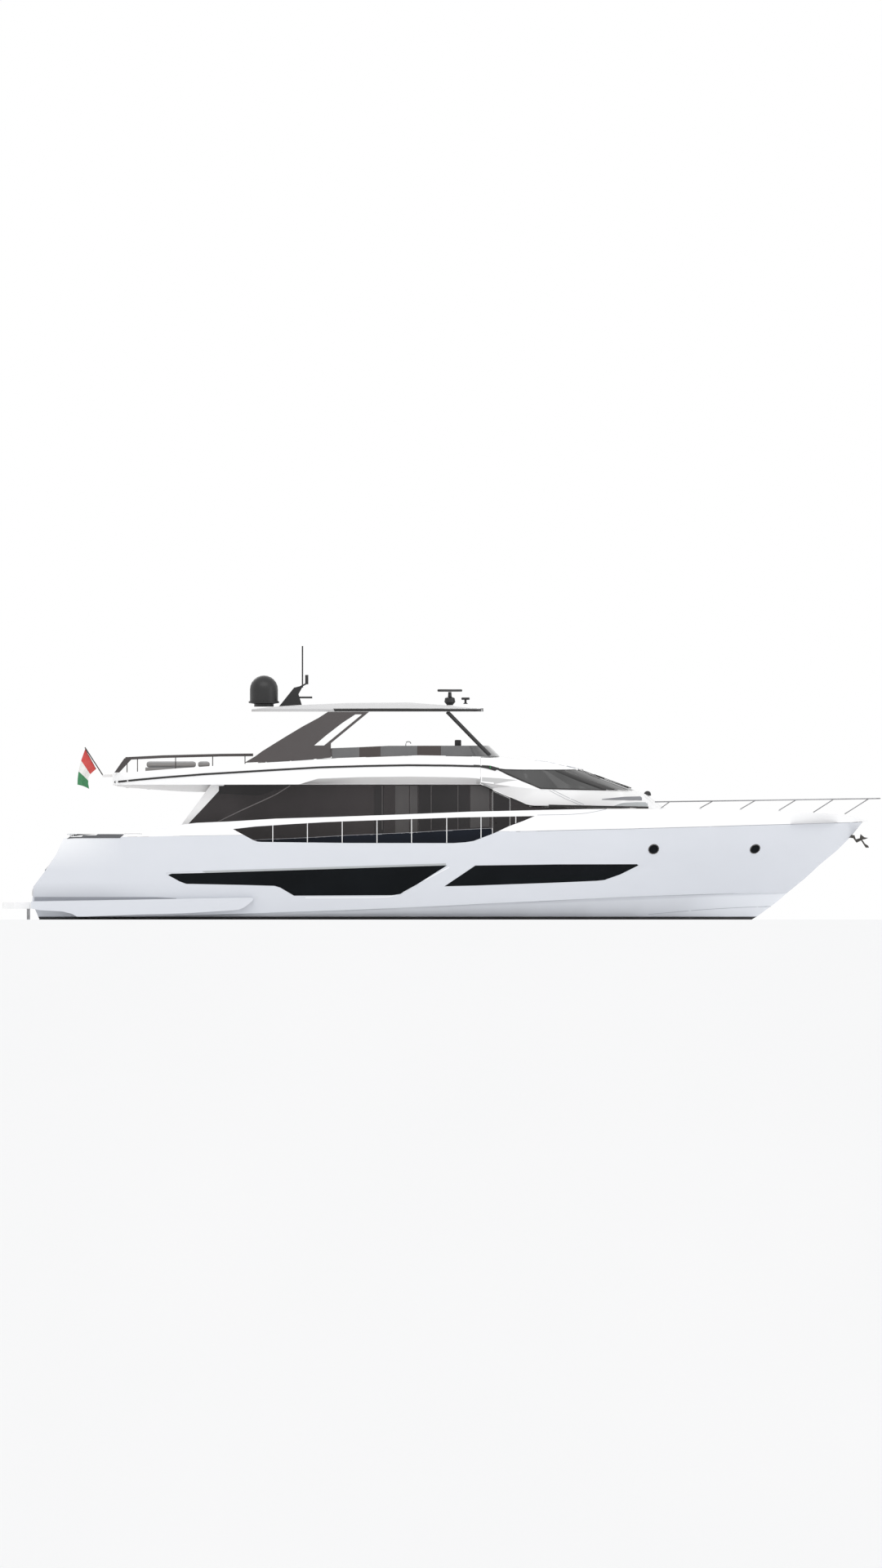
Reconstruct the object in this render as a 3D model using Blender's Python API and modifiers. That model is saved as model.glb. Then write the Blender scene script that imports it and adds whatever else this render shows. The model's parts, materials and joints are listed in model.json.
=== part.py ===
"""Motor yacht of about 27 m with a flybridge, modelled afloat and at its real size.

+X points to the bow, +Y to port and +Z up. The origin lies on the centre line amidships, in the
plane of the waterline. Lengths are metres. Side views are given as (x, z), plans as (x, y).
"""

from math import cos, pi, radians, sin

import bmesh
import bpy
from mathutils import Matrix, Vector

# General clearances
GAP = 0.0003
MERGE = 0.00005
CLEAR = 0.008

# Levels above the waterline
DECK_Z = 2.15
FOREDECK_Z = 2.66
SOFFIT_Z = 4.15
FLY_DECK_Z = 4.35
HARDTOP_Z = 6.365

# Hull lines, each a short list of (x, value)
KEEL_Z = ((-12.3, -0.62), (-9, -0.85), (-4, -1.0), (2, -1.08), (6, -1.0), (8, -0.72),
          (9, -0.34), (9.53, 0.0), (10.08, 0.38), (10.6, 0.82))
CHINE_Z = ((-12.3, 0.02), (-9, 0.1), (-5.25, 0.21), (-1.3, 0.35), (1.5, 0.49), (4.25, 0.62),
           (6.05, 0.705), (9.05, 0.8), (10.6, 0.82))
CHINE_Y = ((-12.3, 2.62), (-8, 2.78), (-3, 2.82), (1.5, 2.7), (4.25, 2.36), (6.05, 1.96),
           (8, 1.27), (9.5, 0.56), (10.6, 0.0))
KNUCKLE_Z = ((-11.6, 2.49), (-9.5, 2.533), (-6.5, 2.58), (1.9, 2.695), (5.5, 2.77),
             (9.3, 2.88), (11.65, 2.95), (12.9, 2.98))
KNUCKLE_Y = ((-11.6, 2.8), (-10, 2.93), (-6, 3.1), (-1, 3.15), (3, 3.1), (5.5, 2.9), (8, 2.4),
             (10, 1.72), (11.5, 1.02), (12.5, 0.42), (12.9, 0.0))
STEM_X = ((0.82, 10.6), (1.25, 11.13), (1.73, 11.65), (2.24, 12.26), (2.6, 12.6), (2.98, 12.9))
TRANSOM_X = ((-1.0, -12.3), (0.3, -12.3), (0.54, -12.52), (0.9, -12.52), (1.2, -12.325),
             (1.55, -12.075), (1.95, -11.825), (2.1, -11.7), (2.3, -11.7), (2.5, -11.55))
SPRAY_STEP = 0.07
SPRAY_DROP = 0.02
HULL_EDGE = 0.14
WELL_AFT_X = -11.25
WELL_FORE_X = 12.6
WELL_FLOOR_FORE_X = 11.8
HULL_STATIONS = (0, 0.06, 0.13, 0.21, 0.3, 0.4, 0.5, 0.58, 0.66, 0.74, 0.81, 0.87, 0.92, 0.96,
                 0.985, 1)
TOPSIDE_STEPS = (0.2, 0.4, 0.6, 0.8)

# Bulwark
CAP_Z = ((-11.62, 2.36), (-11.5, 2.46), (-11.25, 2.62), (-9.2, 2.63), (-8.6, 2.74), (-7.9, 2.95),
         (-7.25, 2.965), (-6, 3.03), (-4.8, 3.1), (-2.75, 3.158), (-1, 3.225), (0.5, 3.29),
         (2.2, 3.33), (4.5, 3.385), (8, 3.39), (9.2, 3.36), (10.35, 3.33), (11.4, 3.265),
         (12.4, 3.21), (13.05, 3.02))
CAP_Y_IN = 0.03
BULWARK_THICK = 0.1
BULWARK_LIFT = 0.004
BULWARK_AFT_X = -11.5
BULWARK_FORE_X = 13.05
BULWARK_STATIONS = (0, 0.04, 0.09, 0.13, 0.16, 0.2, 0.26, 0.33, 0.42, 0.5, 0.58, 0.65, 0.71, 0.77,
                    0.82, 0.87, 0.92, 0.96, 0.985, 1)
OPENING_TOP = ((-6.37, 2.77), (-5.7, 2.847), (-4.675, 2.917), (-3.5, 2.985), (-2.75, 3.015),
               (-1.0, 3.075), (0.5, 3.125), (1.525, 3.145), (2.87, 3.17))
OPENING_LOW = ((-5.75, 2.43), (-5.62, 2.385), (-5.5, 2.375), (-2.75, 2.343), (0.375, 2.34),
               (0.75, 2.365), (1.0, 2.405), (1.25, 2.5), (1.625, 2.643), (2.075, 2.855),
               (2.55, 3.03))
OPENING = OPENING_TOP + OPENING_LOW[::-1]
STANCHION_X = (-5.15, -4.09, -3.025, -1.96, -0.9, 0.175, 1.225, 2.29)
STANCHION_R = 0.014

# Hull glass
AFT_GLASS = ((-8.36, 1.362), (-8.25, 1.405), (-7.1, 1.432), (-3.5, 1.545), (0.19, 1.66),
             (-0.275, 1.365), (-0.775, 1.05), (-1.25, 0.78), (-1.5, 0.742), (-4.5, 0.728),
             (-4.925, 0.978), (-5.1, 1.03), (-6.175, 1.06), (-7.8, 1.092), (-8.0, 1.165))
FORE_GLASS = ((0.1, 1.015), (1.05, 1.655), (3.55, 1.69), (6.0, 1.695), (6.05, 1.66),
              (5.5, 1.385), (5.0, 1.208), (4.75, 1.183), (3.55, 1.13), (1.075, 1.04))
GLASS_POCKET = 0.06
GLASS_PROUD = 0.014
GLASS_EDGE = 0.0006

# Machinery under the cockpit and the stern stairs
GARAGE = ((-12.8, -1.45, 0.72), (-10.1, 1.45, 1.83))
ENGINE_DOOR = ((-10.3, -0.45, 0.72), (-9.6, 0.45, 1.7))
ENGINE_ROOM = ((-9.8, -1.85, -0.05), (-5.4, 1.85, 1.75))
ENGINE_SIZE = (2.4, 1.15, 1.3)
ENGINE_X = -7.4
ENGINE_Y = 1.05
STAIR_Y = (1.72, 2.42)
STAIR_TREADS = 5
STAIR_BOTTOM = (-12.8, 0.6)
STAIR_FIRST_X = -12.35
STAIR_TOP_X = -10.95

# Under water
SHAFT_Y = 1.25
PROP_AT = (-11.25, -1.33)
SHAFT_SLOPE = radians(12)
PROP_R = 0.5
RUDDER_X = -12.0
RUDDER_TOP_Z = -0.46
RUDDER_BLADE = ((-0.3, -0.02), (0.22, -0.02), (0.16, -1.1), (-0.2, -1.1))
RUDDER_THICK = 0.07
STOCK_R = 0.045
STOCK_TOP = 0.11

# Deckhouse on the main deck
HOUSE_Y = (2.38, 2.38)
HOUSE_WALL = 0.06
HOUSE_AFT_X = (-8.5, -7.03)
HOUSE_STRAIGHT_X = 2.9
HOUSE_NOSE_X = (6.82, 6.82)
HOUSE_COLUMNS = (-6, -3, 0, 1.2, 1.5, 1.94, 2.43, 2.72, HOUSE_STRAIGHT_X)
SALOON_AFT_X = -6.1
HOUSE_TOP = ((-7.9, SOFFIT_Z), (1.2, SOFFIT_Z), (1.5, 4.01), (1.94, 3.82), (2.43, 3.625),
             (2.72, 3.475), (5.08, 3.42), (7.0, 3.36))
SIDE_GLASS = ((-8.05, 2.5), (-7.71, 2.96), (-7.25, 3.45), (-6.62, 4.135), (1.22, 4.135),
              (1.5, 3.995), (1.94, 3.805), (2.43, 3.61), (2.72, 3.46), (5.08, 3.405),
              (5.08, 3.2), (1.98, 2.82), (0.25, 2.725), (-1.0, 2.65), (-2.75, 2.575),
              (-5.1, 2.45), (-8.0, 2.4))
SIDE_DOOR_X = (1.58, 2.11)
SIDE_DOOR_LOW_Z = 2.2
SIDE_DOOR_THICK = 0.04
SIDE_DOOR_GAP = 0.006
GLASS_THICK = 0.024

# Wheelhouse: breadth, straight part's end and nose of each level, with its heights
WHEELHOUSE_AFT_X = 1.215
BODY_LOW = tuple((x, z + 0.015) for x, z in HOUSE_TOP[1:])
SILL_Z = ((1.2, 4.2), (3.05, 4.0), (4.5, 3.98), (5.9, 3.94), (6.3, 3.82))
HEAD_Z = ((1.2, 4.72), (1.7, 4.64), (2.2, 4.575), (4.0, 4.575), (4.3, 4.55))
SHOULDER_Z = ((1.2, 4.96), (1.84, 4.93), (2.6, 4.87), (3.3, 4.79), (3.95, 4.7), (4.3, 4.63))
CROWN_Z = ((1.2, 4.985), (1.84, 4.985), (2.55, 4.945), (3.25, 4.87), (3.9, 4.75), (4.32, 4.65))
WHEELHOUSE_COLUMNS = (0.1765, 0.4353, 0.7235, 0.8941, 1.0)
WHEELHOUSE_LEVELS = (
    (BODY_LOW, 2.5, (2.9, 2.42), 6.9, 2.4),
    (SILL_Z, 2.69, (3.4, 2.46), 6.32, 2.5),
    (HEAD_Z, 2.7, (2.6, 2.36), 4.34, 2.6),
    (SHOULDER_Z, 2.62, (2.5, 2.2), 4.33, 2.6),
)
WHEELHOUSE_WALL = 0.04
WHEELHOUSE_GLASS = ((1.525, 4.69), (1.72, 4.64), (2.2, 4.573), (3.25, 4.573), (4.19, 4.578),
                    (4.6, 4.66), (6.7, 4.3), (6.6, 3.8), (6.28, 3.83), (5.93, 3.955),
                    (4.5, 3.99), (3.05, 4.01), (2.9, 4.06), (2.475, 4.23), (2.04, 4.42))

# Fly deck, coaming and overhang
FLY_AFT_X = -10.05
FLY_FORE_X = 1.197
FLY_Y = ((-10.05, 2.2), (-9.9, 2.45), (-9.4, 2.68), (-8, 2.8), (-4, 2.84), (-0.5, 2.82),
         (1.2, 2.7))
COAMING_Z = ((-10.05, 4.475), (-9, 4.55), (-8.1, 4.625), (-7, 4.7), (-5.9, 4.775), (-4.6, 4.845),
             (-3.7, 4.91), (-2.5, 4.955), (-0.65, 5.015), (0.3, 5.0), (1.2, 4.985))
STYLE_Z = ((-10.05, 4.2), (-9.25, 4.28), (-7.25, 4.45), (-5.5, 4.555), (-3.7, 4.66),
           (-2.25, 4.7), (-1, 4.725), (0.3, 4.71), (1.2, 4.69))
SOFFIT_LOW = ((-10.05, 4.12), (-9.75, 4.05), (-8.9, 3.99), (-8.2, 3.93), (-7.2, 3.9),
              (-6.62, 3.9), (-6.6, SOFFIT_Z), (1.2, SOFFIT_Z))
CHAMFER_Z = ((-10.05, 4.125), (-4.36, 4.135), (-3.76, 4.315), (-2.5, 4.36), (-0.975, 4.378),
             (0.925, 4.34), (1.2, 4.31))
COAMING_THICK = 0.12
FLY_RAIL_Y = 2.35
COAMING_LEAN = 0.07
FLY_STATIONS = (-10.05, -9.9, -9.6, -9.2, -8.6, -7.8, -7.0, -6.62, -6.6, -5.5, -4.36, -3.76, -2.5,
                -0.975, 0.3, 0.8)
FLY_WALL_X = 1.08

# Fly windshield, arches and hardtop
SHIELD_TOP = ((-3.4, 5.245), (-2.45, 5.28), (-1.6, 5.32), (1.84, 5.325))
SHIELD_NOSE = (1.8, 1.47)
SHIELD_THICK = 0.02
SHIELD_LIFT = 0.015
SHIELD_LEAN = 0.04
SHIELD_COLUMNS = (-3.35, -2.45, -1.6, -0.65, 0.2)
ARCH_OUTLINE = ((-6.02, 4.8), (-5.675, 5.005), (-5.475, 5.155), (-4.75, 5.605), (-4.25, 5.905),
                (-3.75, 6.175), (-3.46, 6.36), (-2.2, 6.36), (-3.37, 5.398), (-3.37, 4.955),
                (-4.6, 4.86))
ARCH_WINDOW = ((-2.62, 6.28), (-3.02, 6.02), (-3.5, 5.65), (-3.88, 5.33), (-3.58, 5.33),
               (-2.42, 6.28))
ARCH_THICK = 0.1
ARCH_FOOT_Y = 2.72
ARCH_LEAN = -0.27
STRUT_FOOT = (1.5, 2.38, 5.02)
STRUT_HEAD = (0.19, 2.1, 6.36)
HARDTOP_Y = ((-5.8, 1.5), (-5.6, 1.9), (-5.0, 2.2), (-3, 2.36), (-0.5, 2.34), (0.7, 2.15),
             (1.15, 1.85), (1.3, 1.5))
HARDTOP_TOP = ((-5.8, 6.44), (-5.2, 6.5), (-4, 6.58), (-2.87, 6.63), (-0.98, 6.645),
               (-0.35, 6.62), (0.125, 6.56), (0.75, 6.49), (1.3, 6.46))
HARDTOP_EDGE = 0.085
HARDTOP_STATIONS = (-5.8, -5.7, -5.5, -5.0, -4, -2.87, -0.98, 0.125, 0.75, 1.1, 1.25, 1.3)

# Gear on the hardtop
DOME_X = -5.42
DOME_FOOT_R = 0.3
DOME_R = 0.43
DOME_BASE_Z = 6.66
DOME_TOP_Z = 7.475
DOME_FOOT_Z = -0.143
ROOF_GAP = 0.006
RADAR_X = 0.27
RADAR_Z = 6.975
RADAR_SIZE = (1.3, 0.12, 0.075)
RADAR_TURN = radians(58.5)

# Swim platform, fairings and transom door
PLATFORM_Z = (0.33, 0.53)
PLATFORM_X = (-13.42, -12.56)
PLATFORM_Y = 2.7
FAIRING = ((-12.55, 0.34), (-12.55, 0.55), (-8.5, 0.625), (-7.5, 0.645), (-5.8, 0.675),
           (-5.74, 0.655), (-5.775, 0.575), (-5.87, 0.485), (-6.02, 0.375), (-6.2, 0.3),
           (-6.65, 0.265), (-7.85, 0.19), (-9.25, 0.15), (-11.13, 0.08), (-11.3, 0.175),
           (-11.6, 0.25), (-12.28, 0.285))
FAIRING_Y = 3.12
DOOR_THICK = 0.06

# Cockpit furniture, kept below the line of the gunwale
COCKPIT_SEAT_DEPTH = 0.95
COCKPIT_SEAT_Y = 1.35
COCKPIT_SEAT_Z = 2.5
COCKPIT_BACK_Z = 2.615
COCKPIT_TABLE = ((-9.95, -0.85, 2.54), (-8.95, 0.85, 2.585))

# Foredeck, bow rail and ensign
FOREDECK_STATIONS = (3.0, 4.5, 6.0, 7.5, 9.0, 10.0, 10.8, 11.35)
FOREDECK_MARGIN = 0.03
COACHROOF_Z = ((6.98, 3.34), (7.5, 3.34), (8.7, 3.3))
COACHROOF_Y = ((6.98, 1.75), (8.7, 1.35))
LID_X = (10.98, 11.3)
LID_Y = 0.28
BOW_POST_LIFT = 0.02
ANCHOR_SHANK = ((12.3, 2.54), (12.62, 2.49), (12.72, 2.35), (12.86, 2.42), (13.0, 2.2),
                (13.1, 2.2), (13.08, 2.26), (12.98, 2.32), (12.86, 2.5), (12.7, 2.46),
                (12.66, 2.58), (12.3, 2.63))
ANCHOR_FLUKE = ((12.84, 2.62), (12.96, 2.52), (13.08, 2.5), (12.98, 2.46), (12.88, 2.44),
                (12.82, 2.5))
BOW_POSTS = ((7.0, 6.725), (8.325, 7.925), (9.625, 9.163), (10.875, 10.35), (12.025, 11.4),
             (13.1, 12.36))
ENSIGN = ((-10.88, 5.23), (-11.03, 4.88), (-11.1, 4.5), (-11.13, 4.13), (-10.93, 4.1),
          (-10.77, 4.0), (-10.8, 4.3), (-10.74, 4.45), (-10.55, 4.6))


def smooth(points):
    """A curve through (x, value) points that never overshoots them."""
    xs = [point[0] for point in points]
    values = [point[1] for point in points]
    slopes = [(values[i + 1] - values[i]) / (xs[i + 1] - xs[i]) for i in range(len(xs) - 1)]
    tangents = [slopes[0]]
    for before, after in zip(slopes, slopes[1:]):
        same_way = before * after > 0
        tangents.append(2 * before * after / (before + after) if same_way else 0.0)
    tangents.append(slopes[-1])

    def value_at(x):
        if x <= xs[0]:
            return values[0]
        if x >= xs[-1]:
            return values[-1]
        i = max(k for k in range(len(xs) - 1) if xs[k] <= x)
        span = xs[i + 1] - xs[i]
        t = (x - xs[i]) / span
        start = (1 + 2 * t) * (1 - t) ** 2 * values[i] + t * (1 - t) ** 2 * span * tangents[i]
        end = t * t * (3 - 2 * t) * values[i + 1] + t * t * (t - 1) * span * tangents[i + 1]
        return start + end

    return value_at


keel_z = smooth(KEEL_Z)
chine_z = smooth(CHINE_Z)
chine_y = smooth(CHINE_Y)
knuckle_z = smooth(KNUCKLE_Z)
knuckle_y = smooth(KNUCKLE_Y)
stem_x = smooth(STEM_X)
transom_x = smooth(TRANSOM_X)
cap_z = smooth(CAP_Z)
opening_floor = smooth(OPENING_LOW)
fly_y = smooth(FLY_Y)
coaming_z = smooth(COAMING_Z)
style_z = smooth(STYLE_Z)
hardtop_y = smooth(HARDTOP_Y)
hardtop_top = smooth(HARDTOP_TOP)


def clear_scene():
    for obj in list(bpy.data.objects):
        bpy.data.objects.remove(obj, do_unlink=True)


def new_collection(name):
    found = bpy.data.collections.get(name) or bpy.data.collections.new(name)
    if found.name not in bpy.context.scene.collection.children:
        bpy.context.scene.collection.children.link(found)
    return found


def make_material(name, color, roughness, metallic=0.0):
    material = bpy.data.materials.new(name)
    material.use_nodes = True
    shader = material.node_tree.nodes["Principled BSDF"]
    shader.inputs["Base Color"].default_value = (*color, 1.0)
    shader.inputs["Roughness"].default_value = roughness
    shader.inputs["Metallic"].default_value = metallic
    return material


FINISHES = {
    "hull_paint": ((0.80, 0.83, 0.88), 0.18, 0.0),
    "white_gelcoat": ((0.90, 0.90, 0.90), 0.25, 0.0),
    "dark_glass": ((0.02, 0.022, 0.025), 0.08, 0.0),
    "dark_paint": ((0.10, 0.09, 0.085), 0.35, 0.0),
    "teak": ((0.45, 0.30, 0.17), 0.6, 0.0),
    "cushion_fabric": ((0.72, 0.70, 0.66), 0.85, 0.0),
    "stainless_steel": ((0.75, 0.76, 0.78), 0.15, 1.0),
    "bronze": ((0.62, 0.42, 0.2), 0.3, 1.0),
    "antifouling": ((0.02, 0.02, 0.025), 0.6, 0.0),
    "engine_paint": ((0.75, 0.76, 0.76), 0.4, 0.0),
    "cabinet_wood": ((0.16, 0.10, 0.07), 0.4, 0.0),
    "flag_cloth": ((0.75, 0.12, 0.12), 0.8, 0.0),
}


def add_object(name, mesh, finish, guide=False):
    """Put a mesh in the scene, as a part with its own material or as a hidden guide."""
    obj = bpy.data.objects.new(name, mesh)
    new_collection("cutters" if guide else "motor_yacht").objects.link(obj)
    if guide:
        obj.hide_render = True
        obj.display_type = "WIRE"
    else:
        mesh.materials.clear()
        mesh.materials.append(make_material(name + "_finish", *FINISHES[finish]))
    return obj


def mesh_from(bm, name):
    mesh = bpy.data.meshes.new(name)
    bm.to_mesh(mesh)
    bm.free()
    return mesh


def face_outward(bm):
    """Turn the faces out; a half that is open on the centre plane is measured from there."""
    bmesh.ops.recalc_face_normals(bm, faces=bm.faces)
    volume = sum(face.calc_center_median().dot(face.normal) * face.calc_area() for face in bm.faces)
    if volume < 0:
        bmesh.ops.reverse_faces(bm, faces=bm.faces)


def skin_rows(rows, caps=(False, False)):
    """Quads between neighbouring rows of points, with the end rows filled where caps say so."""
    bm = bmesh.new()
    grid = [[bm.verts.new(point) for point in row] for row in rows]
    for row, following in zip(grid, grid[1:]):
        for i in range(len(row) - 1):
            bm.faces.new((row[i], row[i + 1], following[i + 1], following[i]))
    for wanted, row in zip(caps, (grid[0], grid[-1])):
        if wanted:
            bm.faces.new(row)
    bmesh.ops.remove_doubles(bm, verts=bm.verts, dist=MERGE)
    bmesh.ops.dissolve_degenerate(bm, dist=MERGE, edges=bm.edges)
    bmesh.ops.triangulate(bm, faces=bm.faces, quad_method="FIXED", ngon_method="BEAUTY")
    face_outward(bm)
    return bm


def mirror_half(obj):
    modifier = obj.modifiers.new("other side", "MIRROR")
    modifier.use_axis = (False, True, False)
    modifier.merge_threshold = MERGE
    return obj


def boolean(obj, operation, other):
    modifier = obj.modifiers.new(operation.lower() + " " + other.name, "BOOLEAN")
    modifier.operation = operation
    modifier.solver = "EXACT"
    modifier.object = other
    return obj


def thicken(obj, thickness):
    modifier = obj.modifiers.new("wall", "SOLIDIFY")
    modifier.thickness = thickness
    modifier.offset = -1.0
    modifier.use_even_offset = True
    return obj


def soften(obj, width, segments=2):
    modifier = obj.modifiers.new("rounded edges", "BEVEL")
    modifier.width = width
    modifier.segments = segments
    modifier.limit_method = "ANGLE"
    modifier.angle_limit = radians(40)
    return obj


def box_mesh(name, low, high):
    bm = bmesh.new()
    bmesh.ops.create_cube(bm, size=1.0)
    size = Vector(high) - Vector(low)
    middle = (Vector(high) + Vector(low)) / 2
    bmesh.ops.scale(bm, vec=size, verts=bm.verts)
    bmesh.ops.translate(bm, vec=middle, verts=bm.verts)
    return mesh_from(bm, name)


def add_box(name, low, high, finish, guide=False):
    return add_object(name, box_mesh(name, low, high), finish, guide)


def add_rods(name, runs, radius, finish, guide=False, sides=8):
    """Straight round bars, each between two points."""
    bm = bmesh.new()
    for start, end in runs:
        along = Vector(end) - Vector(start)
        turn = along.to_track_quat("Z", "Y").to_matrix().to_4x4()
        place = Matrix.Translation((Vector(start) + Vector(end)) / 2) @ turn
        bmesh.ops.create_cone(bm, cap_ends=True, segments=sides, radius1=radius, radius2=radius,
                              depth=along.length, matrix=place)
    return add_object(name, mesh_from(bm, name), finish, guide)


def curve_mesh(name, curve, place=None):
    """The closed mesh of a curve, with its loose caps welded and its place applied."""
    holder = bpy.data.objects.new(name + "_curve", curve)
    bpy.context.scene.collection.objects.link(holder)
    bpy.context.view_layer.update()
    evaluated = holder.evaluated_get(bpy.context.evaluated_depsgraph_get())
    mesh = bpy.data.meshes.new_from_object(evaluated)
    bpy.data.objects.remove(holder, do_unlink=True)
    bm = bmesh.new()
    bm.from_mesh(mesh)
    bpy.data.meshes.remove(mesh)
    bmesh.ops.remove_doubles(bm, verts=bm.verts, dist=MERGE)
    if place is not None:
        bmesh.ops.transform(bm, matrix=place, verts=bm.verts)
    bmesh.ops.recalc_face_normals(bm, faces=bm.faces)
    return mesh_from(bm, name)


SIDE_VIEW = Matrix(((1, 0, 0, 0), (0, 0, -1, 0), (0, 1, 0, 0), (0, 0, 0, 1)))


def plate_mesh(name, outlines, thickness, place=None):
    """A flat plate of one outline, with holes where more outlines follow it."""
    curve = bpy.data.curves.new(name, "CURVE")
    curve.dimensions = "2D"
    curve.fill_mode = "BOTH"
    curve.extrude = thickness / 2
    for outline in outlines:
        spline = curve.splines.new("POLY")
        spline.points.add(len(outline) - 1)
        spline.use_cyclic_u = True
        for point, (u, v) in zip(spline.points, outline):
            point.co = (u, v, 0, 1)
    return curve_mesh(name, curve, place)


def add_side_plate(name, outlines, y_range, finish, guide=False):
    """A plate whose outline is seen from the side, between two places across the boat."""
    low, high = y_range
    place = Matrix.Translation((0, (low + high) / 2, 0)) @ SIDE_VIEW
    return add_object(name, plate_mesh(name, outlines, high - low, place), finish, guide)


def add_plan_plate(name, outlines, z_range, finish, guide=False):
    """A plate whose outline is seen from above, between two levels."""
    low, high = z_range
    place = Matrix.Translation((0, 0, (low + high) / 2))
    return add_object(name, plate_mesh(name, outlines, high - low, place), finish, guide)


def add_tube(name, points, radius, finish, guide=False, cyclic=False):
    curve = bpy.data.curves.new(name, "CURVE")
    curve.dimensions = "3D"
    curve.bevel_depth = radius
    curve.bevel_resolution = 1
    curve.use_fill_caps = True
    spline = curve.splines.new("POLY")
    spline.points.add(len(points) - 1)
    spline.use_cyclic_u = cyclic
    for point, place in zip(spline.points, points):
        point.co = (*place, 1)
    return add_object(name, curve_mesh(name, curve), finish, guide)


def add_turned(name, profile, place, finish, steps=20, guide=False):
    """A turned shape: (radius, height) from its top down, about an upright axis."""
    bm = bmesh.new()
    verts = [bm.verts.new((radius, 0, height)) for radius, height in profile]
    for first, second in zip(verts, verts[1:]):
        bm.edges.new((first, second))
    obj = add_object(name, mesh_from(bm, name), finish, guide)
    obj.location = place
    modifier = obj.modifiers.new("turned", "SCREW")
    modifier.steps = steps
    modifier.render_steps = steps
    modifier.use_merge_vertices = True
    modifier.merge_threshold = MERGE
    modifier.use_smooth_shade = True
    return obj


def blend(start, end, share):
    return start + (end - start) * share


def shrink(outline, distance):
    """The outline moved inward by the distance on every side."""
    count = len(outline)
    area = sum(outline[i][0] * outline[(i + 1) % count][1] - outline[(i + 1) % count][0]
               * outline[i][1] for i in range(count))
    inward = 1 if area > 0 else -1
    moved = []
    for i, (u, v) in enumerate(outline):
        before = (Vector((u, v)) - Vector(outline[i - 1])).normalized()
        after = (Vector(outline[(i + 1) % count]) - Vector((u, v))).normalized()
        normals = [Vector((-edge.y, edge.x)) * inward for edge in (before, after)]
        bisector = (normals[0] + normals[1]).normalized()
        reach = distance / max(bisector.dot(normals[0]), 0.3)
        moved.append((u + bisector.x * reach, v + bisector.y * reach))
    return moved


def level_ends(t):
    """Where a topside level starts at the transom and ends at the stem."""
    aft_z = blend(chine_z(-12.3), knuckle_z(-11.6), t)
    fore_z = blend(CHINE_Z[-1][1], KNUCKLE_Z[-1][1], t)
    return transom_x(aft_z), stem_x(fore_z)


def side_point(u, t):
    """A point of the topside: u runs from transom to stem, t from chine to knuckle."""
    aft_x, fore_x = level_ends(t)
    chine_x = blend(-12.3, 10.6, u)
    knuckle_x = blend(*level_ends(1.0), u)
    hollow = 0.7 + 0.8 * u * u
    y = blend(chine_y(chine_x), knuckle_y(knuckle_x), t ** hollow)
    z = blend(chine_z(chine_x), knuckle_z(knuckle_x), t)
    return blend(aft_x, fore_x, u), y, z


def hull_side_y(x, z):
    """Half breadth of the hull's outside at a place seen from the side."""
    t = 0.5
    u = 0.5
    for _ in range(12):
        aft_x, fore_x = level_ends(t)
        u = min(max((x - aft_x) / (fore_x - aft_x), 0.0), 1.0)
        low = side_point(u, 0.0)[2]
        high = side_point(u, 1.0)[2]
        t = min(max((z - low) / (high - low), 0.0), 1.0)
    return side_point(u, t)[1]


def outer_chain(u, inset=0.0):
    """Half a section of the hull's outside, from the keel up to the knuckle."""
    x = blend(-12.3, 10.6, u)
    chine = max(chine_y(x), 0.0)
    chain = [(x, 0.0, keel_z(x)),
             (x, max(chine - SPRAY_STEP, 0.0), chine_z(x) - (SPRAY_DROP if u < 1 else 0.0)),
             (x, max(chine - inset, 0.0) if u < 1 else 0.0, chine_z(x))]
    for t in (*TOPSIDE_STEPS, 1.0):
        px, py, pz = side_point(u, t)
        chain.append((px, max(py - inset, 0.0) if u < 1 else 0.0, pz))
    return chain


def to_centre(chain):
    return [(x, 0.0, z) for x, y, z in chain]


def hull_rows(inset=0.0, well=False):
    rows = []
    for u in HULL_STATIONS:
        chain = outer_chain(u, inset)
        if well:
            top_x = blend(WELL_AFT_X, WELL_FORE_X, u)
            floor_x = blend(WELL_AFT_X, WELL_FLOOR_FORE_X, u)
            top_y = max(knuckle_y(top_x) - HULL_EDGE, 0.0) if u < 1 else 0.0
            floor_y = hull_side_y(floor_x, DECK_Z) - HULL_EDGE
            floor_y = max(min(knuckle_y(floor_x) - HULL_EDGE, floor_y), 0.0) if u < 1 else 0.0
            chain += [(top_x, top_y, knuckle_z(top_x)), (floor_x, floor_y, DECK_Z),
                      (floor_x, 0.0, DECK_Z)]
        else:
            chain.append((chain[-1][0], 0.0, chain[-1][2]))
        rows.append(chain)
    return [to_centre(rows[0])] + rows


def hull_guide(name, inset=0.0, shift=(0, 0, 0)):
    guide = add_object(name, mesh_from(skin_rows(hull_rows(inset)), name), None, guide=True)
    guide.location = shift
    return mirror_half(guide)


def stair_outline():
    """The space over the stern stairs, seen from the side."""
    start_x, start_z = STAIR_BOTTOM
    tread = (STAIR_TOP_X - STAIR_FIRST_X) / STAIR_TREADS
    rise = (DECK_Z - start_z) / (STAIR_TREADS + 1)
    outline = [(start_x, start_z)]
    for step in range(STAIR_TREADS + 1):
        x = STAIR_FIRST_X + tread * step
        outline += [(x, start_z + rise * step), (x, start_z + rise * (step + 1))]
    outline[-1] = (STAIR_TOP_X, 3.2)
    return outline + [(start_x, 3.2)]


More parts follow.
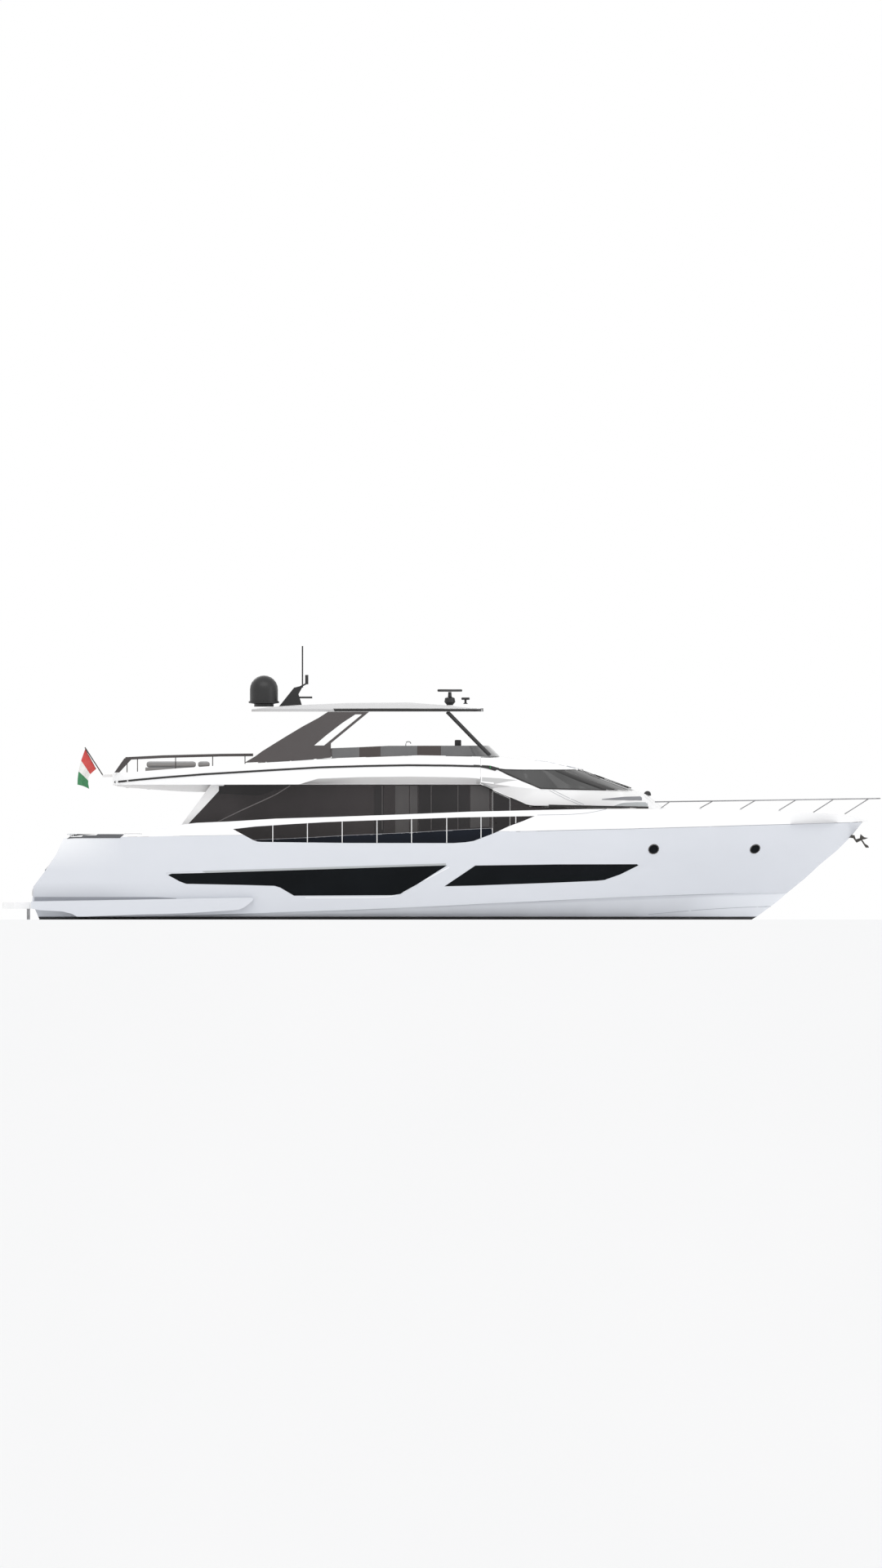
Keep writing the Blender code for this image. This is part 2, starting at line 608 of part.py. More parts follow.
def build_hull():
    hull = add_object("hull", mesh_from(skin_rows(hull_rows(well=True)), "hull"), "hull_paint")
    mirror_half(hull)
    for name, corners in (("garage_space", GARAGE), ("engine_door_space", ENGINE_DOOR),
                          ("engine_room_space", ENGINE_ROOM)):
        boolean(hull, "DIFFERENCE", add_box(name, *corners, None, guide=True))
    stairs = stair_outline()
    for name, side in (("stairs_port", 1), ("stairs_starboard", -1)):
        across = sorted((side * STAIR_Y[0], side * STAIR_Y[1]))
        boolean(hull, "DIFFERENCE", add_side_plate(name, [stairs], across, None, guide=True))
    notch = add_side_plate("bulwark_opening_space", [OPENING], (-3.6, 3.6), None, guide=True)
    boolean(hull, "DIFFERENCE", notch)
    return hull


def build_hull_glass(hull):
    floor = hull_guide("glass_pocket_floor", GLASS_POCKET)
    back = hull_guide("glass_back", GLASS_POCKET - GAP)
    face = hull_guide("glass_face", GLASS_PROUD)
    for name, outline in (("aft", AFT_GLASS), ("fore", FORE_GLASS)):
        pocket = add_side_plate(name + "_glass_pocket", [outline], (-3.6, 3.6), None, guide=True)
        boolean(pocket, "DIFFERENCE", floor)
        boolean(hull, "DIFFERENCE", pocket)
        for side, across in (("port", (0.9, 3.6)), ("starboard", (-3.6, -0.9))):
            pane = add_side_plate("hull_glass_" + name + "_" + side,
                                  [shrink(outline, GLASS_EDGE)], across, "dark_glass")
            boolean(pane, "INTERSECT", face)
            boolean(pane, "DIFFERENCE", back)


def bulwark_rows():
    rows = []
    for u in BULWARK_STATIONS:
        low_x = blend(BULWARK_AFT_X + 0.05, KNUCKLE_Y[-1][0], u)
        top_x = blend(BULWARK_AFT_X + 0.1, BULWARK_FORE_X, u)
        low_y = knuckle_y(low_x)
        top_y = max(knuckle_y(min(top_x, low_x)) - CAP_Y_IN, 0.0)
        low_z = knuckle_z(low_x) + BULWARK_LIFT
        inner = [max(y - BULWARK_THICK, 0.0) for y in (top_y, low_y)]
        if u == 1:
            rows.append([(low_x, 0, low_z), (top_x, 0, cap_z(top_x)),
                         (top_x - 0.25, 0, cap_z(top_x)), (low_x - 0.25, 0, low_z)])
        else:
            rows.append([(low_x, low_y, low_z), (top_x, top_y, cap_z(top_x)),
                         (top_x, inner[0], cap_z(top_x)), (low_x, inner[1], low_z)])
    return [row + row[:1] for row in rows]


def build_bulwarks():
    bulwarks = add_object("bulwarks", mesh_from(skin_rows(bulwark_rows(), caps=(True, False)),
                                                "bulwarks"), "white_gelcoat")
    mirror_half(bulwarks)
    opening = add_side_plate("bulwark_opening", [OPENING], (-3.6, 3.6), None, guide=True)
    boolean(bulwarks, "DIFFERENCE", opening)
    runs = []
    for x in STANCHION_X:
        y = knuckle_y(x) - BULWARK_THICK / 2 - CAP_Y_IN / 2
        low = opening_floor(x) + CLEAR
        runs += [((x, side * y, low), (x, side * y, cap_z(x) - 0.03)) for side in (-1, 1)]
    posts = add_rods("opening_posts", runs, STANCHION_R, None, guide=True, sides=6)
    return boolean(bulwarks, "UNION", posts)


def nose_plan(aft, straight, nose_x, columns, bluntness=2.4, arc=9):
    """Half a plan from its aft end along the side and round to the nose on the centre line."""
    aft_x, aft_y = aft
    straight_x, straight_y = straight
    plan = [(aft_x, aft_y)]
    for x in columns:
        if x > aft_x + 0.01:
            share = min((x - aft_x) / (straight_x - aft_x), 1.0)
            plan.append((x, blend(aft_y, straight_y, share * share * (3 - 2 * share))))
    for step in range(1, arc + 1):
        angle = pi / 2 * step / arc
        x = straight_x + (nose_x - straight_x) * sin(angle) ** (2 / bluntness)
        y = straight_y * max(cos(angle), 0.0) ** (2 / bluntness) if step < arc else 0.0
        plan.append((x, y))
    return plan


def house_rows():
    """The deckhouse wall: one row at the deck and one under the fly deck."""
    top_z = smooth(HOUSE_TOP)
    rows = []
    for y, aft_x, nose_x, height in zip(HOUSE_Y, HOUSE_AFT_X, HOUSE_NOSE_X, (0, 1)):
        plan = nose_plan((aft_x, y), (HOUSE_STRAIGHT_X, y), nose_x, HOUSE_COLUMNS)
        if height:
            rows.append([(x, side, top_z(x) - GAP) for x, side in plan])
        else:
            rows.append([(x, side, DECK_Z + GAP) for x, side in plan])
    return rows


def add_shell(name, rows, wall, finish, guide=False):
    """An open surface with its port half made first, mirrored and given its wall."""
    shell = add_object(name, mesh_from(skin_rows(rows), name), finish, guide)
    mirror_half(shell)
    return thicken(shell, wall)


def door_outline(margin=0.0):
    low_x, high_x = SIDE_DOOR_X
    top = smooth(HOUSE_TOP)
    return [(low_x - margin, SIDE_DOOR_LOW_Z - margin), (high_x + margin, SIDE_DOOR_LOW_Z - margin),
            (high_x + margin, top(high_x) - 0.04 + margin),
            (low_x - margin, top(low_x) - 0.04 + margin)]


def build_deckhouse():
    house = add_shell("deckhouse", house_rows(), HOUSE_WALL, "white_gelcoat")
    glazing = add_side_plate("side_glass_space", [SIDE_GLASS], (-3.6, 3.6), None, guide=True)
    doorway = add_side_plate("side_doorway", [door_outline()], (-3.6, 3.6), None, guide=True)
    boolean(boolean(house, "DIFFERENCE", glazing), "DIFFERENCE", doorway)
    for side, across in (("port", (0.9, 3.6)), ("starboard", (-3.6, -0.9))):
        glass = add_shell("side_glass_" + side, house_rows(), GLASS_THICK, "dark_glass")
        pane = add_side_plate("side_pane_" + side, [shrink(SIDE_GLASS, GLASS_EDGE)], across, None,
                              guide=True)
        boolean(boolean(glass, "INTERSECT", pane), "DIFFERENCE", doorway)
        door = add_shell("side_door_" + side, house_rows(), SIDE_DOOR_THICK, "dark_glass")
        leaf = add_side_plate("side_leaf_" + side, [door_outline(-SIDE_DOOR_GAP)], across, None,
                              guide=True)
        boolean(door, "INTERSECT", leaf)


def wheelhouse_rows():
    rows = []
    for curve, aft_y, straight, nose_x, bluntness in WHEELHOUSE_LEVELS:
        z_at = smooth(curve)
        columns = [blend(WHEELHOUSE_AFT_X, straight[0], share) for share in WHEELHOUSE_COLUMNS]
        plan = nose_plan((WHEELHOUSE_AFT_X, aft_y), straight, nose_x, columns, bluntness)
        rows.append([(x, y, z_at(x)) for x, y in plan])
    crown = smooth(CROWN_Z)
    shoulder = rows[-1]
    for share in (0.6, 0.0):
        rows.append([(x, y * share, blend(crown(x), z, share ** 2)) for x, y, z in shoulder])
    return rows


def build_wheelhouse():
    house = add_shell("wheelhouse", wheelhouse_rows(), WHEELHOUSE_WALL, "white_gelcoat")
    space = add_side_plate("windscreen_space", [WHEELHOUSE_GLASS], (-3.6, 3.6), None, guide=True)
    boolean(house, "DIFFERENCE", space)
    glass = add_shell("windscreen", wheelhouse_rows(), GLASS_THICK, "dark_glass")
    pane = add_side_plate("windscreen_pane", [shrink(WHEELHOUSE_GLASS, GLASS_EDGE)], (-3.6, 3.6),
                          None, guide=True)
    boolean(glass, "INTERSECT", pane)


def fly_chain(x, filled):
    """Half a section of the fly deck, from under its middle round the coaming to its floor."""
    outer = fly_y(x)
    belly = min(2.15, outer - 0.4)
    soffit = min(2.5, outer - 0.3)
    low = min(smooth(SOFFIT_LOW)(x), SOFFIT_Z)
    top = coaming_z(x)
    top_y = outer - COAMING_LEAN
    floor = top if filled else FLY_DECK_Z
    return [(x, 0, low), (x, belly, low), (x, belly + 0.03, SOFFIT_Z), (x, soffit, SOFFIT_Z),
            (x, outer - 0.02, smooth(CHAMFER_Z)(x)), (x, outer, style_z(x)), (x, top_y, top),
            (x, top_y - COAMING_THICK, top), (x, top_y - COAMING_THICK - 0.01, floor),
            (x, 0, floor)]


def build_fly_deck():
    rows = [fly_chain(x, False) for x in FLY_STATIONS]
    rows += [fly_chain(FLY_WALL_X, False), fly_chain(FLY_WALL_X + 0.001, True),
             fly_chain(FLY_FORE_X, True)]
    deck = add_object("fly_deck", mesh_from(skin_rows(rows, caps=(True, True)), "fly_deck"),
                      "white_gelcoat")
    return mirror_half(deck)


def build_stern():
    """Swim platform, its lift arms, the garage door and the fairings at the quarters."""
    low, high = PLATFORM_Z
    aft, fore = PLATFORM_X
    round_x = aft + 0.35
    outline = [(fore, -PLATFORM_Y), (fore, PLATFORM_Y), (round_x, PLATFORM_Y),
               (aft + 0.08, PLATFORM_Y - 0.22), (aft, PLATFORM_Y - 0.6), (aft, 0.6 - PLATFORM_Y),
               (aft + 0.08, 0.22 - PLATFORM_Y), (round_x, -PLATFORM_Y)]
    platform = add_plan_plate("swim_platform", [outline], (low, high), "teak")
    for name, y in (("arm_port", 1.2), ("arm_starboard", -1.2)):
        arm = add_box(name, (-12.68, y - 0.05, -0.25), (-12.58, y + 0.05, low + 0.05), None,
                      guide=True)
        boolean(platform, "UNION", arm)
    door_low = GARAGE[0][2] + CLEAR
    door_high = GARAGE[1][2] - CLEAR
    levels = (door_low, 0.9, 1.2, 1.55, door_high)
    outline = [(transom_x(z) + 0.003, z) for z in levels]
    outline += [(x + DOOR_THICK, z) for x, z in outline[::-1]]
    half = GARAGE[1][1] - CLEAR
    add_side_plate("garage_door", [outline], (-half, half), "hull_paint")
    guide = hull_guide("hull_outside", -0.002, (-0.003, 0, 0))
    for side, across in (("port", (2.2, FAIRING_Y)), ("starboard", (-FAIRING_Y, -2.2))):
        fairing = add_side_plate("side_fairing_" + side, [FAIRING], across, "hull_paint")
        boolean(fairing, "DIFFERENCE", guide)


def build_drive():
    """Shafts with their brackets, propellers, rudders and the engines."""
    under = hull_guide("hull_underside", -GAP, (0, 0, -0.001))
    prop_x, prop_z = PROP_AT
    along = Vector((cos(SHAFT_SLOPE), 0, sin(SHAFT_SLOPE)))
    for side, sign in (("port", 1), ("starboard", -1)):
        hub = Vector((prop_x, sign * SHAFT_Y, prop_z))
        shaft = add_rods("shaft_" + side, [(hub + along * 0.16, hub + along * 4.6)], 0.045,
                         "stainless_steel")
        leg = add_side_plate("bracket_" + side, [[(-11.02, -1.32), (-10.78, -1.27), (-10.65, -0.2),
                                                  (-10.95, -0.2)]],
                             sorted((sign * (SHAFT_Y - 0.02), sign * (SHAFT_Y + 0.02))), None, True)
        sleeve = add_rods("sleeve_" + side, [(hub + along * 0.2, hub + along * 0.55)], 0.085, None,
                          guide=True, sides=10)
        boolean(boolean(boolean(shaft, "UNION", sleeve), "UNION", leg), "DIFFERENCE", under)
        add_propeller("propeller_" + side, hub, along, sign)
        add_rudder("rudder_" + side, sign * SHAFT_Y)
        length, width, height = ENGINE_SIZE
        floor = ENGINE_ROOM[0][2] + GAP
        engine = add_box("engine_" + side, (ENGINE_X - length / 2, sign * ENGINE_Y - width / 2, floor),
                         (ENGINE_X + length / 2, sign * ENGINE_Y + width / 2, floor + height),
                         "engine_paint")
        soften(engine, 0.04, 1)


def add_propeller(name, hub, along, hand):
    """Five raked blades on a hub; its origin is on the shaft line."""
    bm = bmesh.new()
    bmesh.ops.create_cone(bm, cap_ends=True, segments=15, radius1=0.085, radius2=0.07, depth=0.26)
    prop = add_object(name, mesh_from(bm, name), "bronze")
    for blade in range(5):
        bm = bmesh.new()
        bmesh.ops.create_cube(bm, size=1.0)
        bmesh.ops.scale(bm, vec=(PROP_R - 0.04, 0.17, 0.022), verts=bm.verts)
        bmesh.ops.translate(bm, vec=((PROP_R + 0.04) / 2, 0, 0), verts=bm.verts)
        for vert in bm.verts:
            if vert.co.x > 0.3:
                vert.co.y *= 1.75
        turn = Matrix.Rotation(2 * pi * blade / 5, 4, "Z")
        pitch = Matrix.Rotation(hand * radians(28), 4, "X")
        bmesh.ops.transform(bm, matrix=turn @ pitch, verts=bm.verts)
        piece = add_object(name + "_blade_" + str(blade), mesh_from(bm, name + "_blade"), None, True)
        piece.parent = prop
        boolean(prop, "UNION", piece)
    prop.rotation_mode = "QUATERNION"
    prop.rotation_quaternion = along.to_track_quat("Z", "Y")
    prop.location = hub
    return prop


def add_rudder(name, y):
    """A spade rudder whose origin is on its stock."""
    rudder = add_object(name, plate_mesh(name, [RUDDER_BLADE], RUDDER_THICK, SIDE_VIEW),
                        "antifouling")
    rudder.location = (RUDDER_X, y, RUDDER_TOP_Z)
    soften(rudder, 0.02, 1)
    stock = add_rods(name + "_stock", [((RUDDER_X, y, RUDDER_TOP_Z - 0.5),
                                        (RUDDER_X, y, RUDDER_TOP_Z + STOCK_TOP))],
                     STOCK_R, None, guide=True, sides=16)
    return boolean(rudder, "UNION", stock)


def build_fly_shield():
    """The low windshield round the fly deck, standing on the coaming."""
    top = smooth(SHIELD_TOP)
    rows = []
    for level, nose_x in enumerate(SHIELD_NOSE):
        plan = [(x, fly_y(x) - COAMING_LEAN - COAMING_THICK / 2) for x in SHIELD_COLUMNS]
        side_y = plan[-1][1]
        for step in range(1, 9):
            angle = pi / 2 * step / 8
            x = SHIELD_COLUMNS[-1] + (nose_x - SHIELD_COLUMNS[-1]) * sin(angle) ** 0.85
            plan.append((x, side_y * max(cos(angle), 0.0) ** 0.85 if step < 8 else 0.0))
        if level:
            rows.append([(x, y - SHIELD_LEAN if y else 0.0, top(x)) for x, y in plan])
        else:
            rows.append([(x, y, max(coaming_z(x), 4.985) + SHIELD_LIFT) if x > 0 else
                         (x, y, coaming_z(x) + SHIELD_LIFT) for x, y in plan])
    return add_shell("fly_windshield", rows, SHIELD_THICK, "dark_glass")


def lean_inboard(mesh, foot_z):
    for vert in mesh.vertices:
        side = 1 if vert.co.y > 0 else -1
        vert.co.y += side * ARCH_LEAN * (vert.co.z - foot_z)


def build_hardtop():
    for side, sign in (("port", 1), ("starboard", -1)):
        across = sorted((sign * (ARCH_FOOT_Y - ARCH_THICK / 2), sign * (ARCH_FOOT_Y + ARCH_THICK / 2)))
        arch = add_side_plate("arch_" + side, [ARCH_OUTLINE, ARCH_WINDOW], across, "dark_paint")
        lean_inboard(arch.data, 4.8)
        strut = add_rods("forward_strut_" + side,
                         [((STRUT_FOOT[0], sign * STRUT_FOOT[1], STRUT_FOOT[2]),
                           (STRUT_HEAD[0], sign * STRUT_HEAD[1], STRUT_HEAD[2]))], 0.06,
                         "dark_paint")
        ends = add_box("strut_ends_" + side, (-0.5, sign * 2.2 - 0.6, 5.01),
                       (2.5, sign * 2.2 + 0.6, HARDTOP_Z - GAP), None, guide=True)
        boolean(strut, "INTERSECT", ends)
    rows = []
    for x in HARDTOP_STATIONS:
        wide = hardtop_y(x)
        top = hardtop_top(x)
        edge = HARDTOP_Z + min(HARDTOP_EDGE, (top - HARDTOP_Z) * 0.8)
        rows.append([(x, 0, HARDTOP_Z), (x, wide - 0.03, HARDTOP_Z), (x, wide, edge),
                     (x, wide - 0.4, blend(edge, top, 0.75)), (x, 0, top)])
    hardtop = add_object("hardtop", mesh_from(skin_rows(rows, caps=(True, True)), "hardtop"),
                         "white_gelcoat")
    mirror_half(hardtop)


def build_roof_gear():
    height = DOME_TOP_Z - DOME_BASE_Z
    profile = [(0.0, height)]
    for step in range(1, 7):
        angle = pi / 2 * step / 6
        profile.append((DOME_R * sin(angle), height - DOME_R + DOME_R * cos(angle)))
    profile += [(DOME_R, 0.03), (DOME_R + 0.04, 0.02), (DOME_R + 0.04, -0.03),
                (DOME_FOOT_R, -0.06), (DOME_FOOT_R, DOME_FOOT_Z), (0.0, DOME_FOOT_Z)]
    add_turned("satellite_dome", profile, (DOME_X, 0, DOME_BASE_Z), "dark_paint")
    fin = [(-4.96, hardtop_top(-4.96) + ROOF_GAP), (-4.5, 7.1), (-4.24, 7.165), (-4.24, 7.12),
           (-4.36, 6.9), (-4.26, hardtop_top(-4.26) + ROOF_GAP)]
    mast = add_side_plate("mast", [fin], (-0.05, 0.05), "dark_paint")
    for name, runs, radius in (
            ("aerial", [((-4.24, 0, 7.1), (-4.24, 0, 8.375))], 0.022),
            ("mast_light", [((-4.3, 0, 7.13), (-4.11, 0, 7.23)), ((-4.11, 0, 7.2), (-4.11, 0, 7.49))],
             0.05),
            ("horn", [((-4.45, 0, 6.8), (-3.94, 0, 6.8))], 0.03)):
        boolean(mast, "UNION", add_rods(name, runs[-1:], radius, None, guide=True))
        if len(runs) > 1:
            boolean(mast, "UNION", add_rods(name + "_arm", runs[:1], radius / 2, None, guide=True))
    base_z = hardtop_top(RADAR_X - 0.1) + ROOF_GAP
    top_z = RADAR_Z - CLEAR
    profile = [(0.0, top_z - base_z), (0.05, top_z - base_z), (0.06, 0.26), (0.15, 0.22), (0.17, 0.1),
               (0.1, 0.02), (0.1, 0.0), (0.0, 0.0)]
    add_turned("radar_pedestal", profile, (RADAR_X, 0, base_z), "dark_paint", steps=14)
    bar = add_box("radar_scanner", (-RADAR_SIZE[0] / 2, -RADAR_SIZE[1] / 2, 0),
                  (RADAR_SIZE[0] / 2, RADAR_SIZE[1] / 2, RADAR_SIZE[2]), "dark_paint")
    bar.location = (RADAR_X, 0, RADAR_Z)
    bar.rotation_euler.z = RADAR_TURN
    soften(bar, 0.02, 1)


def build_fly_rail():
    """The rail round the aft end of the fly deck with its posts."""
    half = FLY_RAIL_Y
    rail_top = [(-9.6, 4.975), (-8.5, 5.03), (-6.75, 5.075), (-5.75, 5.085)]
    rail = add_box("fly_rail", (-9.66, -half, 4.9), (-9.56, half, 4.975), "dark_paint")
    outline = rail_top + [(x, z - 0.085) for x, z in rail_top[::-1]]
    corner = [(-10.0, 4.5), (-9.7, 4.93), (-9.6, 4.975), (-9.48, 4.9), (-9.85, 4.5)]
    for side, sign in (("port", 1), ("starboard", -1)):
        across = sorted((sign * (half - 0.03), sign * (half + 0.03)))
        boolean(rail, "UNION", add_side_plate("rail_" + side, [outline], across, None, guide=True))
        boolean(rail, "UNION", add_side_plate("rail_corner_" + side, [corner], across, None, True))
    rail_z = smooth(rail_top)
    runs = []
    for x in (-9.29, -8.125, -6.99, -6.0):
        foot = FLY_DECK_Z + CLEAR / 4
        runs += [((x, side * half, foot), (x, side * half, rail_z(x) - 0.04)) for side in (-1, 1)]
    for y in (-1.7, -0.85, 0, 0.85, 1.7):
        runs.append(((-9.61, y, FLY_DECK_Z + CLEAR / 4), (-9.61, y, 4.93)))
    posts = add_rods("fly_rail_posts", runs, 0.016, None, guide=True, sides=6)
    return boolean(rail, "UNION", posts)


def rail_y(x):
    """Half breadth of the bow rail, over the bulwark cap and closing round the bow."""
    return max(knuckle_y(min(x * 0.985 - 0.05, 12.9)) - 0.06, 0.24)


def build_bow_rail():
    xs = (6.55, 7.4, 8.3, 9.2, 10.1, 11.0, 11.8, 12.4, 12.9, 13.25)
    top = smooth(((6.55, 3.602), (9.7, 3.65), (13.44, 3.707)))
    side = [(x, rail_y(x), top(x)) for x in xs] + [(13.4, 0.16, top(13.4)), (13.44, 0.0, top(13.44))]
    points = side + [(x, -y, z) for x, y, z in side[-2::-1]]
    rail = add_tube("bow_rail", points, 0.022, "stainless_steel")
    runs = []
    for top_x, foot_x in BOW_POSTS:
        foot_y = knuckle_y(min(foot_x, 12.6)) - BULWARK_THICK / 2 - CAP_Y_IN
        for sign in (-1, 1):
            runs.append(((foot_x, sign * foot_y, cap_z(foot_x) + BOW_POST_LIFT),
                         (top_x, sign * rail_y(top_x), top(top_x))))
    posts = add_rods("bow_rail_posts", runs, 0.016, None, guide=True, sides=6)
    return boolean(rail, "UNION", posts)


def build_foredeck():
    """The raised foredeck with its coachroof, fitted inside the hull's edge."""
    side = [(x, max(min(knuckle_y(x) - HULL_EDGE, hull_side_y(x, DECK_Z) - HULL_EDGE)
                    - FOREDECK_MARGIN, 0.0)) for x in FOREDECK_STATIONS]
    outline = side + [(x, -y) for x, y in side[::-1]]
    deck = add_plan_plate("foredeck", [outline], (DECK_Z + GAP, FOREDECK_Z), "teak")
    plan = nose_plan((2.0, HOUSE_Y[0] + 0.004), (HOUSE_STRAIGHT_X, HOUSE_Y[0] + 0.004),
                     HOUSE_NOSE_X[0] + 0.01, HOUSE_COLUMNS[-2:])
    outline = plan + [(x, -y) for x, y in plan[-2::-1]]
    hole = add_plan_plate("foredeck_house_hole", [outline], (2.0, 3.2), None, guide=True)
    boolean(deck, "DIFFERENCE", hole)
    roof_z = smooth(COACHROOF_Z)
    roof_y = smooth(COACHROOF_Y)
    stations = (6.98, 7.5, 8.1, 8.7)
    rows = [[(x, 0, FOREDECK_Z - 0.1), (x, roof_y(x), FOREDECK_Z - 0.1),
             (x, roof_y(x) - 0.06, roof_z(x) - 0.05), (x, roof_y(x) - 0.14, roof_z(x)),
             (x, 0, roof_z(x) + 0.02)] for x in stations]
    roof = add_object("coachroof", mesh_from(skin_rows(rows, caps=(True, True)), "coachroof"),
                      None, guide=True)
    boolean(deck, "UNION", mirror_half(roof))
    pad = add_box("foredeck_sunpad", (8.76, -1.0, FOREDECK_Z + GAP), (10.65, 1.0, 3.33),
                  "cushion_fabric")
    soften(pad, 0.06)
    lid = add_box("locker_lid", (LID_X[0], -LID_Y, FOREDECK_Z + CLEAR),
                  (LID_X[1], LID_Y, FOREDECK_Z + 0.05), "white_gelcoat")
    soften(lid, 0.01, 1)
    windlass = add_rods("windlass", [((10.85, 0, FOREDECK_Z + GAP), (10.85, 0, FOREDECK_Z + 0.26))],
                        0.09, "stainless_steel", sides=16)
    return deck, windlass


def build_anchor():
    """The anchor in its pocket under the bow, with its shank on the stem."""
    anchor = add_side_plate("anchor", [ANCHOR_SHANK], (-0.03, 0.03), "stainless_steel")
    fluke = add_side_plate("anchor_fluke", [ANCHOR_FLUKE], (-0.26, 0.26), None, guide=True)
    boolean(anchor, "UNION", fluke)
    outside = hull_guide("stem_outside", -GAP, (0.002, 0, 0))
    return boolean(anchor, "DIFFERENCE", outside)


def build_cockpit():
    aft_x = WELL_AFT_X + CLEAR
    seat_x = aft_x + COCKPIT_SEAT_DEPTH
    floor = DECK_Z + GAP
    sofa = add_box("cockpit_sofa", (aft_x, -COCKPIT_SEAT_Y, floor),
                   (seat_x, COCKPIT_SEAT_Y, COCKPIT_SEAT_Z), "cushion_fabric")
    back = add_box("cockpit_sofa_back", (aft_x, -COCKPIT_SEAT_Y, DECK_Z + 0.2),
                   (aft_x + 0.22, COCKPIT_SEAT_Y, COCKPIT_BACK_Z), None, guide=True)
    boolean(sofa, "UNION", back)
    top_low, top_high = COCKPIT_TABLE
    table = add_box("cockpit_table", top_low, top_high, "teak")
    leg = add_box("cockpit_table_leg", (top_low[0] + 0.35, -0.2, floor),
                  (top_high[0] - 0.35, 0.2, top_low[2] + 0.01), None, guide=True)
    boolean(table, "UNION", leg)


def build_saloon():
    """The aft bulkhead with its sliding doors, and what shows through the side glass."""
    top = SOFFIT_Z - GAP
    x = SALOON_AFT_X
    bulkhead = add_box("saloon_bulkhead", (x, -2.31, DECK_Z + GAP), (x + 0.05, 2.31, top),
                       "dark_glass")
    doorway = add_box("saloon_doorway", (x - 0.1, -1.0, DECK_Z + 0.03), (x + 0.2, 1.0, 4.05), None,
                      guide=True)
    boolean(bulkhead, "DIFFERENCE", doorway)
    for side, sign in (("port", 1), ("starboard", -1)):
        across = sorted((sign * 0.006, sign * 1.06))
        add_box("saloon_door_" + side, (x - 0.05, across[0], DECK_Z + CLEAR),
                (x - 0.01, across[1], 4.08), "dark_glass")
    for name, low, high, finish in (
            ("saloon_sofa", (-5.2, 1.2, DECK_Z + GAP), (-2.6, 2.2, 2.95), "cushion_fabric"),
            ("galley_bulkhead", (-0.9, -2.1, DECK_Z + GAP), (-0.8, 1.0, top), "cabinet_wood"),
            ("lower_helm", (4.2, -1.6, DECK_Z + GAP), (5.2, 1.2, 3.72), "dark_paint"),
            ("helm_seats", (2.9, -1.3, DECK_Z + GAP), (3.5, 0.9, 3.3), "cushion_fabric")):
        soften(add_box(name, low, high, finish), 0.03, 1)


def build_fly_furniture():
    floor = FLY_DECK_Z + GAP
    for name, low, high, finish in (
            ("fly_helm_console", (0.2, -1.7, floor), (0.95, 0.3, 5.22), "dark_paint"),
            ("fly_helm_seats", (-1.15, -1.5, floor), (-0.5, 0.2, 5.2), "cushion_fabric"),
            ("fly_bar", (-2.3, 1.0, floor), (-0.9, 2.3, 5.25), "white_gelcoat"),
            ("fly_sofa", (-5.6, 0.7, floor), (-3.1, 2.4, 4.95), "cushion_fabric"),
            ("fly_sunpad", (-9.05, -1.9, floor), (-7.05, 1.9, 4.84), "cushion_fabric")):
        soften(add_box(name, low, high, finish), 0.04, 1)


def build_ensign():
    foot = Vector((-10.34, 0, 4.4))
    head = Vector((-10.9, 0, 5.27))
    staff = add_rods("ensign_staff", [(foot, head)], 0.018, "cabinet_wood")
    socket = add_box("ensign_socket", (-10.36, -0.04, 4.36), (-10.06, 0.04, 4.44), None, guide=True)
    boolean(staff, "UNION", socket)
    add_side_plate("ensign", [ENSIGN], (0.03, 0.07), "flag_cloth")


def main():
    clear_scene()
    hull = build_hull()
    build_hull_glass(hull)
    build_bulwarks()
    build_stern()
    build_drive()
    build_cockpit()
    build_deckhouse()
    build_saloon()
    build_wheelhouse()
    build_fly_deck()
    build_fly_shield()
    build_fly_rail()
    build_fly_furniture()
    build_hardtop()
    build_roof_gear()
    build_foredeck()
    build_bow_rail()
    build_anchor()
    build_ensign()


main()
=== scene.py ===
"""Looks of a flybridge motor yacht about 27 m long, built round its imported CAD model.

Metres throughout, in the CAD frame: +X to the bow, +Y to port, +Z up from the waterline.
"""

import json
from math import cos, pi, radians, sin

import bmesh
import bpy
from mathutils import Matrix, Vector
from mathutils.bvhtree import BVHTree


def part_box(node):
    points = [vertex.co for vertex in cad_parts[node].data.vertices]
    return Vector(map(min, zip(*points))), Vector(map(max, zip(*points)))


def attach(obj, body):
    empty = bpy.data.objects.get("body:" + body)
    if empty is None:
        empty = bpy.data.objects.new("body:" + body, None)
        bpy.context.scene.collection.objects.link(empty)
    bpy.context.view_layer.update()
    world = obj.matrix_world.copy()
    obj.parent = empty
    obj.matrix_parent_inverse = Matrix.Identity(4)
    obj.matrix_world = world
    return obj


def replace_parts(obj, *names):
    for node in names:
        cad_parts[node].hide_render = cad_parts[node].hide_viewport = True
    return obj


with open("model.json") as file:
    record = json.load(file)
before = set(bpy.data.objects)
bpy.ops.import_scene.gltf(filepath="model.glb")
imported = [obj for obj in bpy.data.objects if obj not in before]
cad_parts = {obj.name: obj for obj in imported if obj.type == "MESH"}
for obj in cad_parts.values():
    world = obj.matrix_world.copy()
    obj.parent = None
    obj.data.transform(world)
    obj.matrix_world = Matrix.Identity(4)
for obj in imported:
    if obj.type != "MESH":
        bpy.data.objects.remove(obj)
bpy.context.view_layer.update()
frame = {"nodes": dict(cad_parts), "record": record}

# Camera and setting
VIEW_HEIGHT = 48.0
VIEW_CENTRE_Z = 4.15
CAMERA_DISTANCE = 60.0
FLOOR_HALF = 52.0

# Driving places, read from the CAD
DECK_Z = 2.15
FOREDECK_Z = 2.66
FLY_DECK_Z = 4.35
BOOT_TOP_Z = 0.09
SIDES = (-1, 1)
MERGE = 0.00008


# Setting

